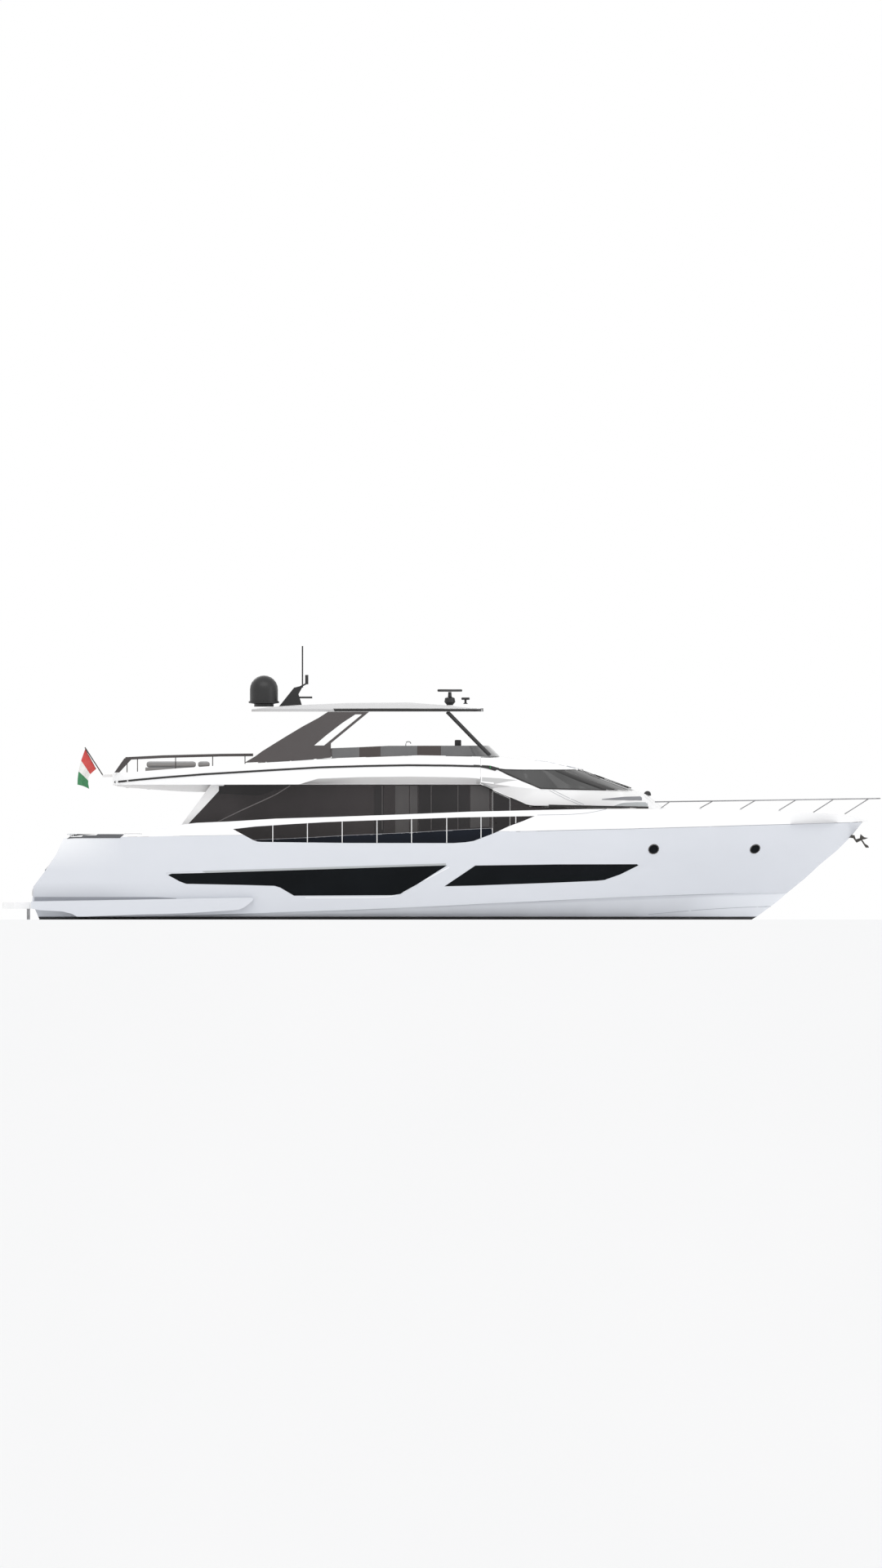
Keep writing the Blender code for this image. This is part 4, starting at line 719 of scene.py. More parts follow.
def lay_lines(name, finish, tree, lines, slot=None, **settings):
    """One piece of several lines, each its (x, z) points and its width."""
    bm = bmesh.new()
    for points, width in lines:
        side_line(bm, tree, points, width, **settings)
    return end_closed(bm, name, finish)


def lay_panels(name, finish, tree, panels, slot=None, **settings):
    bm = bmesh.new()
    for upper, lower in panels:
        side_panel(bm, tree, upper, lower, **settings)
    return end_closed(bm, name, finish)


STYLE_WIDTH = 0.06
STYLE_LINE = ((-10.0, 4.206), (-9.25, 4.282), (-8.5, 4.35), (-7.25, 4.449), (-6.4, 4.5), (-5.5, 4.555),
              (-3.7, 4.66), (-2.25, 4.702), (-1.0, 4.724), (0.3, 4.713), (1.17, 4.69))
STYLE_END = (((1.0, 4.74), (1.5, 4.715), (1.78, 4.64)), ((1.0, 4.69), (1.38, 4.63), (1.66, 4.55)))
SOFFIT_SHADE = (((1.2, 4.36), (1.8, 4.325), (2.35, 4.27)), ((1.2, 4.19), (1.6, 4.14), (2.1, 4.24)))
FASCIA = (((-6.8, 4.09), (-5.6, 4.1), (-4.68, 4.1)), ((-6.8, 3.86), (-5.6, 3.8), (-4.68, 4.07)))
SCREEN_FRAME = ((1.62, 4.655), (2.3, 4.345), (3.05, 4.012), (4.5, 3.978), (5.85, 3.95))
SCREEN_TOP = ((1.7, 4.6), (2.3, 4.583), (3.3, 4.58), (4.25, 4.585))
GLASS_FRAME_AFT = ((1.28, 4.1), (1.575, 3.967))
GLASS_FRAME = ((2.125, 3.722), (2.62, 3.505), (2.8, 3.47), (3.35, 3.47))
DOOR_FRAME = ((1.6, 3.9), (2.09, 3.68))
WINDOW_LIP_HIGHLIGHT = ((-4.15, 0.665), (-2.2, 0.672), (-1.62, 0.69), (-1.3, 0.77), (-0.85, 1.02), (0.25, 1.6))
KNUCKLE_LINE = ((2.3, 2.692), (3.75, 2.733), (5.5, 2.772), (7.7, 2.83), (9.3, 2.88), (11.65, 2.945),
                (12.75, 2.975))
CREASE = ((2.95, 3.2), (3.9, 3.215), (4.4, 3.25), (4.75, 3.31), (5.05, 3.375))
CHINE = ((-5.25, 0.2125), (-3.9, 0.25), (-2.6, 0.29), (-1.3, 0.35), (0.075, 0.41), (1.5, 0.49), (3.0, 0.55),
         (4.25, 0.62), (6.05, 0.705), (9.05, 0.8))
LOW_CHINE = ((6.35, 0.16), (7.98, 0.3), (8.5, 0.335), (9.3, 0.375), (10.1, 0.4))
ROOF_EDGE = ((1.9, 4.965), (2.55, 4.915), (3.24, 4.835), (3.9, 4.695), (4.22, 4.61))
STERN_CAP = (((-11.3, 2.58), (-11.22, 2.618), (-9.7, 2.615)), ((-11.45, 2.475), (-11.22, 2.492), (-9.83, 2.495)))
STERN_RAIL = ((-9.7, 2.62), (-9.16, 2.622))
RECESS_SHADE = (((-12.45, 0.692), (-8.75, 0.69), (-8.1, 0.655)), ((-12.45, 0.57), (-8.75, 0.628), (-8.1, 0.64)))
WINDOW_BEVEL = ((-8.4, 1.4), (-7.1, 1.465), (-3.5, 1.578), (0.15, 1.692))
HOUSE_SILL = ((-5.78, 2.43), (-4.0, 2.505), (-2.75, 2.578), (-1.0, 2.652), (0.25, 2.727), (1.56, 2.79))
GLASS_DIAGONAL = ((-6.9, 2.96), (-6.1, 3.35), (-5.5, 3.62), (-5.05, 3.83), (-4.62, 4.1))
GLASS_POSTS = (-1.8, -0.3, 0.52, 1.54, 2.13)
HOUSE_CREASES = (((3.32, 3.95), (3.8, 3.7), (4.28, 3.5)), ((3.42, 3.97), (3.9, 3.73), (4.38, 3.52)))
A_PILLAR = (((3.85, 4.56), (4.45, 4.32), (5.32, 4.0)), ((3.5, 4.56), (4.1, 4.3), (4.95, 4.0)))
NOSE_COAMING = (((5.3, 3.485), (5.56, 3.575), (6.0, 3.595), (6.33, 3.59)),
                ((5.3, 3.48), (5.56, 3.482), (6.0, 3.475), (6.33, 3.47)))
NOSE_RECESS_SHADE = (((4.93, 3.69), (5.6, 3.76), (6.15, 3.775)), ((4.93, 3.67), (5.6, 3.655), (6.15, 3.65)))
BASE_BAND = (((3.3, 3.52), (4.3, 3.497), (5.4, 3.475), (6.35, 3.46)),
             ((3.3, 3.44), (4.3, 3.43), (5.4, 3.41), (6.35, 3.4)))


def lay_side_details():
    upper_tree = surface_of("fly_deck", "wheelhouse")
    hull_tree = surface_of("hull", "bulwarks")
    house_tree = surface_of("deckhouse", "side_glass_port", "side_glass_starboard", "side_door_port",
                            "side_door_starboard", "wheelhouse")
    screen_tree = surface_of("wheelhouse", "windscreen")
    lay_lines("style_line", "line_black", upper_tree, [(STYLE_LINE, STYLE_WIDTH)], proud=0.012)
    lay_panels("style_line_end", "line_black", upper_tree, [STYLE_END], proud=0.014, step=0.05)
    lay_lines("screen_frame", "line_black", screen_tree, [(SCREEN_FRAME, 0.035), (SCREEN_TOP, 0.026)],
              proud=0.012)
    lay_lines("glass_frame", "line_black", house_tree, [(GLASS_FRAME, 0.035), (GLASS_FRAME_AFT, 0.035)],
              proud=0.012)
    # painted highlight: a white line along the lit lower lip of the aft hull window
    lay_lines("window_lip", "lip_highlight_white", hull_tree, [(WINDOW_LIP_HIGHLIGHT, 0.03)])
    # painted shadow: a grey line under the bulwark's overhang at the knuckle
    lay_lines("knuckle_line", "joint_and_shade_line", hull_tree, [(KNUCKLE_LINE, 0.016)])
    # painted shade: a grey panel under the forward end of the fly overhang
    lay_panels("soffit_end", "soffit_painted_shade", upper_tree, [SOFFIT_SHADE], step=0.06, rows=4)
    lay_panels("glass_fascia", "pane_dark", house_tree, [FASCIA], slot="dark_glass")
    # painted shade: thin grey lines where the chine and spray rail steps fall into shade
    lay_lines("chine_lines", "crease_shade_grey", hull_tree, [(CHINE, 0.016), (LOW_CHINE, 0.014)])
    # painted shade: a grey line along the wheelhouse roof edge, where the surface turns from the light
    lay_lines("roof_edge", "crease_shade_grey", upper_tree, [(ROOF_EDGE, 0.02)], proud=0.014)
    # painted shade: a grey line in the crease of the forward bulwark
    lay_lines("bulwark_crease", "joint_and_shade_line", hull_tree, [(CREASE, 0.012)])
    lay_panels("stern_cap", "cap_grey", hull_tree, [STERN_CAP], proud=0.012, step=0.08, rows=4)
    lay_lines("stern_cap_rail", "line_black", hull_tree, [(STERN_RAIL, 0.028)])
    # painted shade: a dark strip in the groove above the stern fairing
    lay_panels("quarter_recess", "recess_shade_strip", hull_tree, [RECESS_SHADE])
    # painted shade: a grey strip along the recessed top edge of the hull windows
    lay_lines("window_bevel", "bevel_shade_grey", hull_tree, [(WINDOW_BEVEL, 0.06)])
    lay_lines("house_sill", "joint_and_shade_line", house_tree, [(HOUSE_SILL, 0.026)])
    lay_lines("glass_diagonal", "glass_line", house_tree, [(GLASS_DIAGONAL, 0.03)])
    lay_lines("glass_seams", "glass_line", house_tree,
              [(((x, 2.75), (x, 4.1 if x < 1 else 3.9 - (x - 1.5) * 0.42)), 0.014) for x in GLASS_POSTS],
              proud=0.012)
    lay_lines("house_creases", "joint_and_shade_line", upper_tree, [(line, 0.012) for line in HOUSE_CREASES])
    lay_panels("screen_pillars", "line_black", screen_tree, [A_PILLAR], proud=0.02, step=0.06, rows=5)
    # painted shade: a grey panel on the wheelhouse nose, for the recess under the windscreen in shade
    lay_panels("nose_recess", "shade_grey", upper_tree, [NOSE_RECESS_SHADE], proud=0.012, step=0.06)
    # painted shade: a grey panel for the shaded side of the lounge coaming at the wheelhouse nose
    lay_panels("nose_coaming", "bevel_shade_grey", upper_tree, [NOSE_COAMING], proud=0.012, step=0.08)
    # painted shadow: a black band for the dark gap at the wheelhouse foot, partly shadow and partly dark glass
    lay_panels("house_base_band", "line_black", upper_tree, [BASE_BAND], proud=0.014, step=0.08)
    lower = [(x, 2.19) for x, z in HOUSE_SILL]
    lay_panels("house_lower_side", "deep_blue", house_tree, [(HOUSE_SILL, lower)], rows=4)


PORTHOLES = ((6.51, 2.155), (9.6125, 2.1625))
PORTHOLE_R = 0.14


def surface_frame(tree, x, z, side):
    """A point on the side and the turn that faces a piece's +Z out of it."""
    point, normal = tree.ray_cast(Vector((x, side * 9, z)), Vector((0, -side, 0)))[:2]
    if normal.y * side < 0:
        normal = -normal
    return point, normal.to_track_quat("Z", "X").to_matrix()


def add_portholes():
    tree = surface_of("hull")
    rings = bmesh.new()
    panes = bmesh.new()
    bolts = bmesh.new()
    rim = [(PORTHOLE_R - 0.004, -0.02), (PORTHOLE_R - 0.004, 0.01), (PORTHOLE_R + 0.004, 0.018),
           (PORTHOLE_R + 0.024, 0.014), (PORTHOLE_R + 0.03, 0.002), (PORTHOLE_R + 0.03, -0.02),
           (PORTHOLE_R - 0.004, -0.02)]
    pane = [(0, -0.02), (PORTHOLE_R, -0.02), (PORTHOLE_R, 0.004), (PORTHOLE_R * 0.6, 0.009), (0, 0.011)]
    for x, z in PORTHOLES:
        for side in SIDES:
            point, turn = surface_frame(tree, x, z, side)
            add_lathe(rings, rim, point, 40, turn)
            add_lathe(panes, pane, point, 40, turn)
            for k in range(12):
                angle = 2 * pi * k / 12
                reach = turn @ Vector(((PORTHOLE_R + 0.016) * cos(angle), (PORTHOLE_R + 0.016) * sin(angle), 0))
                add_lathe(bolts, [(0.006, 0.0), (0.006, 0.017), (0.003, 0.02), (0, 0.02)], point + reach, 8,
                          turn)
    end_closed(rings, "porthole_rims", "dark_steel")
    end_closed(panes, "porthole_panes", "hull_glass")
    cap_open(bolts)
    end_closed(bolts, "porthole_screws", "stainless")


def cap_open(bm):
    """Closes the open foot of each little turned shape."""
    bmesh.ops.remove_doubles(bm, verts=bm.verts, dist=1e-6)
    bmesh.ops.holes_fill(bm, edges=[edge for edge in bm.edges if edge.is_boundary], sides=0)



# Cushions, blown up as cloth, and the furniture under them

CLOTH_FRAMES = 20
CLOTH_PRESSURE = 4.0
SEAT_TOP = 0.14
PIPING_R = 0.005


CUSHION_GAP = 0.012


def split(low, high, axis, count, gap=CUSHION_GAP):
    """A row of boxes that fill one box along an axis."""
    step = (high[axis] - low[axis]) / count
    made = []
    for k in range(count):
        first = list(low)
        last = list(high)
        first[axis] = low[axis] + k * step + gap / 2
        last[axis] = low[axis] + (k + 1) * step - gap / 2
        made.append((tuple(first), tuple(last)))
    return made


def remeshed(mesh, voxel):
    """One cushion in even faces. Each is done alone, because a voxel wider than a gap joins neighbours."""
    form = bpy.data.objects.new("form", mesh)
    bpy.context.scene.collection.objects.link(form)
    remesh = form.modifiers.new("remesh", "REMESH")
    remesh.mode = "VOXEL"
    remesh.voxel_size = voxel
    made = bpy.data.meshes.new_from_object(form.evaluated_get(bpy.context.evaluated_depsgraph_get()))
    bpy.data.objects.remove(form)
    return made


def blown_up(fine, cap):
    """The mesh after its cloth simulation, no point further than the cap from its place."""
    scene = bpy.context.scene
    form = bpy.data.objects.new("form", fine)
    scene.collection.objects.link(form)
    cloth = form.modifiers.new("cloth", "CLOTH")
    cloth.settings.use_pressure = True
    cloth.settings.uniform_pressure_force = CLOTH_PRESSURE
    cloth.settings.effector_weights.gravity = 0
    cloth.point_cache.frame_end = CLOTH_FRAMES
    for number in range(1, CLOTH_FRAMES + 1):
        scene.frame_set(number)
    blown = bpy.data.meshes.new_from_object(form.evaluated_get(bpy.context.evaluated_depsgraph_get()))
    for point, start in zip(blown.vertices, fine.vertices):
        move = point.co - start.co
        if move.length > cap:
            point.co = start.co + move * (cap / move.length)
    bpy.data.objects.remove(form)
    scene.frame_set(1)
    return blown


def subdivided(mesh, levels=1):
    form = bpy.data.objects.new("form", mesh)
    bpy.context.scene.collection.objects.link(form)
    form.modifiers.new("fine", "SUBSURF").levels = levels
    made = bpy.data.meshes.new_from_object(form.evaluated_get(bpy.context.evaluated_depsgraph_get()))
    bpy.data.objects.remove(form)
    for face in made.polygons:
        face.use_smooth = True
    return made


def cushions(node, blocks, finish, voxel=0.035, cap=0.022):
    """The cushions that stand for a soft CAD node, with piping on their seams."""
    shrink = Vector((cap, cap, cap)) * 0.75
    bm = bmesh.new()
    for low, high in blocks:
        thin = min(b - a for a, b in zip(low, high))
        single = bmesh.new()
        add_block(single, Vector(low) + shrink, Vector(high) - shrink, bevel=thin * 0.22, segments=3)
        mesh = mesh_of(single, node + "_cushion")
        bm.from_mesh(remeshed(mesh, voxel))
    mesh = mesh_of(bm, node + "_cushions")
    mesh = blown_up(mesh, cap)
    piece = new_piece(node + "_cushions", subdivided(mesh), None, body_of_node[node])
    piece.data.materials.clear()
    piece.data.materials.append(FINISH[finish])
    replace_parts(piece, node)
    bm = bmesh.new()
    bm.from_mesh(piece.data)
    seams = bmesh.new()
    for low, high in blocks:
        add_seams(seams, tree_within(bm, low, high, CUSHION_GAP / 2), Vector(low), Vector(high))
    bm.free()
    new_piece(node + "_piping", mesh_of(seams, node + "_piping", 60), "piping", body_of_node[node])


def tree_within(bm, low, high, margin):
    """The faces of one cushion, told from its neighbours' by the box that it fills."""
    faces = []
    for face in bm.faces:
        middle = face.calc_center_median()
        if all(a - margin < c < b + margin for a, c, b in zip(low, middle, high)):
            faces.append([vert.index for vert in face.verts])
    return BVHTree.FromPolygons([vert.co for vert in bm.verts], faces)


def add_seams(bm, tree, low, high):
    """Piping round both broad faces of a cushion, on its surface."""
    size = high - low
    thin = min(range(3), key=lambda axis: size[axis])
    first, second = [axis for axis in range(3) if axis != thin]
    middle = (low + high) / 2
    for share in (0.28, 0.72):
        points = []
        for k in range(48):
            angle = 2 * pi * k / 48
            out = Vector((0, 0, 0))
            out[first] = size[first] * 0.5 * max(-1, min(1, 1.35 * cos(angle)))
            out[second] = size[second] * 0.5 * max(-1, min(1, 1.35 * sin(angle)))
            core = middle.copy()
            core[thin] = low[thin] + size[thin] * share
            hit = tree.ray_cast(core + out * 1.1, -out.normalized(), out.length)[0]
            if hit is not None:
                points.append(hit)
        if len(points) > 30:
            add_tube(bm, points, PIPING_R, 6, closed=True)


def furniture_base(name, blocks, finish="gelcoat", body="root"):
    """Moulded boxes, each on a set-back plinth."""
    bm = bmesh.new()
    for low, high in blocks:
        add_block(bm, (low[0] + 0.04, low[1] + 0.04, low[2]), (high[0] - 0.04, high[1] - 0.04, low[2] + 0.08),
                  0.006)
        add_block(bm, (low[0], low[1], low[2] + 0.065), high, 0.02, segments=3)
    return end_closed(bm, name, finish, 35, body)


def seat_shell(bm, low, high, seat_z, swivel_x):
    """A helm seat's pedestal, foot and shell."""
    middle_y = (low[1] + high[1]) / 2
    add_lathe(bm, [(0, 0), (0.17, 0), (0.17, 0.012), (0.075, 0.03), (0.055, 0.06), (0.05, seat_z - low[2] - 0.08),
                   (0.12, seat_z - low[2] - 0.06), (0.12, seat_z - low[2] - 0.05), (0, seat_z - low[2] - 0.05)],
              (swivel_x, middle_y, low[2]), 32)
    add_block(bm, (low[0] + 0.06, low[1] + 0.05, seat_z - 0.055), (high[0] - 0.04, high[1] - 0.05, seat_z), 0.02,
              segments=3)
    add_block(bm, (low[0], low[1] + 0.05, seat_z + 0.02), (low[0] + 0.035, high[1] - 0.05, high[2] - 0.03), 0.015,
              segments=3)
    for y in (low[1] + 0.025, high[1] - 0.025):
        add_block(bm, (low[0] + 0.12, y - 0.025, seat_z + 0.19), (high[0] - 0.1, y + 0.025, seat_z + 0.225), 0.012,
                  segments=3)
        add_tube(bm, [(low[0] + 0.16, y, seat_z - 0.03), (low[0] + 0.16, y, seat_z + 0.2)], 0.012, 10)


def helm_seats(node, seat_share, finish):
    low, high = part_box(node)
    width = (high.y - low.y) / 2
    seat_z = low.z + (high.z - low.z) * seat_share
    shells = bmesh.new()
    pads = []
    for k in range(2):
        first = Vector((low.x, low.y + k * width + 0.03, low.z))
        last = Vector((high.x, low.y + (k + 1) * width - 0.03, high.z))
        seat_shell(shells, first, last, seat_z, (low.x + high.x) / 2 + 0.03)
        pads.append(((low.x + 0.13, first.y + 0.06, seat_z + 0.002), (high.x, last.y - 0.06, seat_z + 0.13)))
        pads.append(((low.x + 0.04, first.y + 0.07, seat_z + 0.14), (low.x + 0.15, last.y - 0.07, high.z)))
    end_closed(shells, node + "_shells", "gelcoat", 35, body_of_node[node])
    cushions(node, pads, finish, 0.02, 0.014)


def add_cushions():
    low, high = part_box("cockpit_sofa")
    furniture_base("cockpit_sofa_base", [(low, (high.x - 0.02, high.y, 2.37))])
    cushions("cockpit_sofa", split((low.x + 0.2, low.y, 2.37), (high.x, high.y, 2.5), 1, 3)
             + split((low.x, low.y, 2.375), (low.x + 0.19, high.y, high.z), 1, 3), "canvas")

    low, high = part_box("saloon_sofa")
    furniture_base("saloon_sofa_base", [(low, (high.x, high.y, 2.42))], "arch_bronze")
    cushions("saloon_sofa", split((low.x + 0.02, low.y, 2.42), (high.x - 0.02, high.y - 0.26, 2.58), 0, 3)
             + split((low.x + 0.02, high.y - 0.25, 2.43), (high.x - 0.02, high.y, high.z), 0, 3), "leather")

    low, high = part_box("fly_sofa")
    furniture_base("fly_sofa_base", [(low, (high.x, high.y, 4.6))])
    cushions("fly_sofa", split((low.x + 0.24, low.y, 4.6), (high.x, high.y - 0.24, 4.75), 0, 3)
             + split((low.x + 0.24, high.y - 0.23, 4.605), (high.x, high.y, high.z), 0, 3)
             + split((low.x, low.y, 4.605), (low.x + 0.23, high.y - 0.24, high.z), 1, 2), "canvas")

    low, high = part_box("fly_sunpad")
    furniture_base("fly_sunpad_base", [(low, (high.x, high.y, 4.66))], "base_grey")
    cushions("fly_sunpad", split((low.x, low.y, 4.66), (high.x - 0.42, high.y, high.z), 1, 4)
             + split((high.x - 0.41, low.y, 4.66), (high.x, high.y, high.z), 1, 4), "canvas", 0.045)

    low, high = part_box("foredeck_sunpad")
    furniture_base("foredeck_sunpad_base", [(low, (high.x, high.y, 3.14))])
    cushions("foredeck_sunpad", split((low.x + 0.46, low.y, 3.14), (high.x, high.y, 3.29), 1, 3)
             + split((low.x, low.y, 3.14), (low.x + 0.45, high.y, high.z), 1, 3), "canvas", 0.04)

    helm_seats("helm_seats", 0.5, "leather")
    helm_seats("fly_helm_seats", 0.5, "canvas")


# The ensign, hung from its staff

ENSIGN_AFT = ((-10.89, 5.225), (-11.0, 4.92), (-11.06, 4.7), (-11.1, 4.5), (-11.125, 4.3), (-11.13, 4.13))
ENSIGN_FORE = ((-10.56, 4.61), (-10.66, 4.52), (-10.745, 4.44), (-10.795, 4.32), (-10.8, 4.16), (-10.77, 4.0))
ENSIGN_Y = 0.05
ENSIGN_ROWS = 40
ENSIGN_COLUMNS = 26
CLOTH_THICK = 0.0012


def key_of(point):
    return tuple(round(value, 5) for value in point)


def add_ensign():
    bm = bmesh.new()
    front = []
    back = []
    shares = {}
    for i in range(ENSIGN_ROWS + 1):
        down = i / ENSIGN_ROWS
        aft = Vector(at_share(ENSIGN_AFT, down))
        fore = Vector(at_share(ENSIGN_FORE, down))
        for grid in (front, back):
            grid.append([])
        for j in range(ENSIGN_COLUMNS + 1):
            across = j / ENSIGN_COLUMNS
            flat = aft.lerp(fore, across)
            fold = sin(across * 7.5 + down * 2.2) * 0.014 * min(1, down * 2.5)
            fold += sin(across * 17 - down * 3.1) * 0.003 * down
            droop = 0.02 * sin(pi * across) * down ** 2
            for grid, shift in ((front, -CLOTH_THICK), (back, CLOTH_THICK)):
                point = Vector((flat.x, ENSIGN_Y + fold + shift / 2, flat.y + droop))
                shares[key_of(point)] = (across, 1 - down)
                grid[-1].append(point)
    close_grid(bm, front, back)
    bmesh.ops.recalc_face_normals(bm, faces=bm.faces)
    places = bm.loops.layers.uv.new("weave")
    for face in bm.faces:
        for loop in face.loops:
            loop[places].uv = shares[key_of(loop.vert.co)]
    piece = new_piece("ensign_cloth", mesh_of(bm, "ensign_cloth", 50), "flag_cloth", "root")
    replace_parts(piece, "ensign")
    hem = bmesh.new()
    hoist = [Vector(ENSIGN_AFT[0]).lerp(Vector(ENSIGN_FORE[0]), k / 12) for k in range(13)]
    add_tube(hem, [(point.x, ENSIGN_Y, point.y) for point in hoist], 0.005, 8)
    for share in (0.04, 0.34, 0.66, 0.96):
        point = hoist[0].lerp(hoist[-1], share)
        loop = [(point.x + 0.016 * cos(a), ENSIGN_Y - 0.026 + 0.03 * sin(a), point.y + 0.012 * cos(a))
                for a in [2 * pi * k / 16 for k in range(16)]]
        add_tube(hem, loop, 0.0025, 6, closed=True)
    end_closed(hem, "ensign_hoist", "rubber", 60)



# Small fittings, repeated by Geometry Nodes

def make_repeater():
    """Puts one shape at every place of a points mesh, turned as the places say."""
    group = bpy.data.node_groups.new("repeater", "GeometryNodeTree")
    face = group.interface
    face.new_socket("Places", in_out="INPUT", socket_type="NodeSocketGeometry")
    unit = face.new_socket("Unit", in_out="INPUT", socket_type="NodeSocketObject")
    finish = face.new_socket("Finish", in_out="INPUT", socket_type="NodeSocketMaterial")
    face.new_socket("Pieces", in_out="OUTPUT", socket_type="NodeSocketGeometry")
    start = group.nodes.new("NodeGroupInput")
    end = group.nodes.new("NodeGroupOutput")
    shape = group.nodes.new("GeometryNodeObjectInfo")
    turn = group.nodes.new("GeometryNodeInputNamedAttribute")
    turn.data_type = "FLOAT_VECTOR"
    turn.inputs["Name"].default_value = "turn"
    copies = group.nodes.new("GeometryNodeInstanceOnPoints")
    real = group.nodes.new("GeometryNodeRealizeInstances")
    paint = group.nodes.new("GeometryNodeSetMaterial")
    link = group.links.new
    link(start.outputs["Places"], copies.inputs["Points"])
    link(start.outputs["Unit"], shape.inputs["Object"])
    link(shape.outputs["Geometry"], copies.inputs["Instance"])
    link(turn.outputs["Attribute"], copies.inputs["Rotation"])
    link(copies.outputs["Instances"], real.inputs["Geometry"])
    link(real.outputs["Geometry"], paint.inputs["Geometry"])
    link(start.outputs["Finish"], paint.inputs["Material"])
    link(paint.outputs["Geometry"], end.inputs["Pieces"])
    return group, unit.identifier, finish.identifier


REPEATER = make_repeater()


def repeat(name, bm, places, finish, body="root", smooth_angle=40):
    """One shape at many places, each a point and a turn, as one plain mesh."""
    group, unit_socket, finish_socket = REPEATER
    bmesh.ops.recalc_face_normals(bm, faces=bm.faces)
    unit = bpy.data.objects.new("unit", mesh_of(bm, "unit", smooth_angle))
    points = bpy.data.meshes.new("places")
    points.from_pydata([tuple(place) for place, turn in places], [], [])
    turns = points.attributes.new("turn", "FLOAT_VECTOR", "POINT")
    for k, (place, turn) in enumerate(places):
        turns.data[k].vector = tuple(turn)
    holder = bpy.data.objects.new("holder", points)
    bpy.context.scene.collection.objects.link(unit)
    bpy.context.scene.collection.objects.link(holder)
    modifier = holder.modifiers.new("repeater", "NODES")
    modifier.node_group = group
    modifier[unit_socket] = unit
    modifier[finish_socket] = FINISH[finish]
    depsgraph = bpy.context.evaluated_depsgraph_get()
    made = bpy.data.meshes.new_from_object(holder.evaluated_get(depsgraph))
    bpy.data.objects.remove(holder)
    bpy.data.objects.remove(unit)
    return new_piece(name, made, None, body)


def turn_to(normal):
    return Vector(normal).to_track_quat("Z", "X").to_euler()


def rail_feet():
    """Where the posts of the bow rail stand, from the rail's own lowest points."""
    verts = [vert.co for vert in frame["nodes"]["bow_rail"].data.vertices]
    feet = []
    for x in RAIL_FEET_X:
        for side in SIDES:
            near = [co for co in verts if abs(co.x - x) < 0.2 and co.y * side > 0]
            if near:
                feet.append(min(near, key=lambda co: co.z).copy())
    return feet


RAIL_FEET_X = (6.725, 7.925, 9.1625, 10.35, 11.4, 12.36)
CLEATS = ((11.05, 0.7), (9.3, 1.5), (4.2, 2.3), (-11.3, 2.75))
DOWNLIGHTS = [(x, y) for x in (-9.6, -8.95) for y in (-1.8, -0.6, 0.6, 1.8)]
NOSE_BUMP_X = 6.32
NAV_LIGHT = (1.5, 4.665)


def add_repeated_fittings():
    flange = bmesh.new()
    add_lathe(flange, [(0, 0), (0.045, 0), (0.045, 0.008), (0.022, 0.014), (0.02, 0.03), (0, 0.03)], (0, 0, 0), 20)
    for k in range(3):
        angle = 2 * pi * k / 3
        add_lathe(flange, [(0, 0.006), (0.007, 0.006), (0.007, 0.013), (0, 0.014)],
                  (0.034 * cos(angle), 0.034 * sin(angle), 0), 8)
    cap = surface_of("bulwarks", "hull", "foredeck")
    places = []
    for foot in rail_feet():
        top = top_hit(cap, foot.x, foot.y, foot.z)
        places.append(((foot.x, foot.y, min(top, foot.z + 0.02)), (0, 0, 0)))
    repeat("rail_flanges", flange, places, "stainless")

    cleat = bmesh.new()
    add_tube(cleat, [(-0.15, 0, 0.055), (-0.1, 0, 0.062), (0, 0, 0.064), (0.1, 0, 0.062), (0.15, 0, 0.055)],
             [0.008, 0.014, 0.016, 0.014, 0.008], 12)
    for x in (-0.045, 0.045):
        add_lathe(cleat, [(0, 0), (0.032, 0), (0.03, 0.008), (0.014, 0.02), (0.013, 0.06), (0, 0.06)], (x, 0, 0), 16)
    decks = surface_of("hull", "foredeck", "bulwarks")
    places = [((x, side * y, top_hit(decks, x, side * y, DECK_Z)), (0, 0, 0)) for x, y in CLEATS for side in SIDES]
    repeat("cleats", cleat, places, "stainless")

    lamp = bmesh.new()
    add_lathe(lamp, [(0, 0), (0.055, 0), (0.055, -0.005), (0.04, -0.008), (0.038, -0.004), (0, -0.004)], (0, 0, 0),
              24)
    ceiling = surface_of("fly_deck")
    places = []
    for x, y in DOWNLIGHTS:
        found = ceiling.ray_cast(Vector((x, y, 2.5)), Vector((0, 0, 1)))[0]
        if found is not None:
            places.append((found, (0, 0, 0)))
    repeat("cockpit_downlights", lamp, places, "clear_lens")

    add_engine_vents()
    add_hatches()


def add_engine_vents():
    """Slatted air intakes for the engines, let into the inner side of each bulwark."""
    slat = bmesh.new()
    add_block(slat, (-0.55, -0.006, -0.014), (0.55, 0.006, 0.014), 0.003, Matrix.Rotation(radians(30), 3, "X"))
    tree = surface_of("deckhouse", "saloon_bulkhead")
    places = []
    for side in SIDES:
        for k in range(9):
            z = 2.235 + 0.036 * k
            y = side_hit(tree, -7.2, z, side, side * 2.2)
            places.append(((-7.2, y + side * 0.004, z), (0, 0, 0)))
    repeat("air_intake_slats", slat, places, "dark_steel")


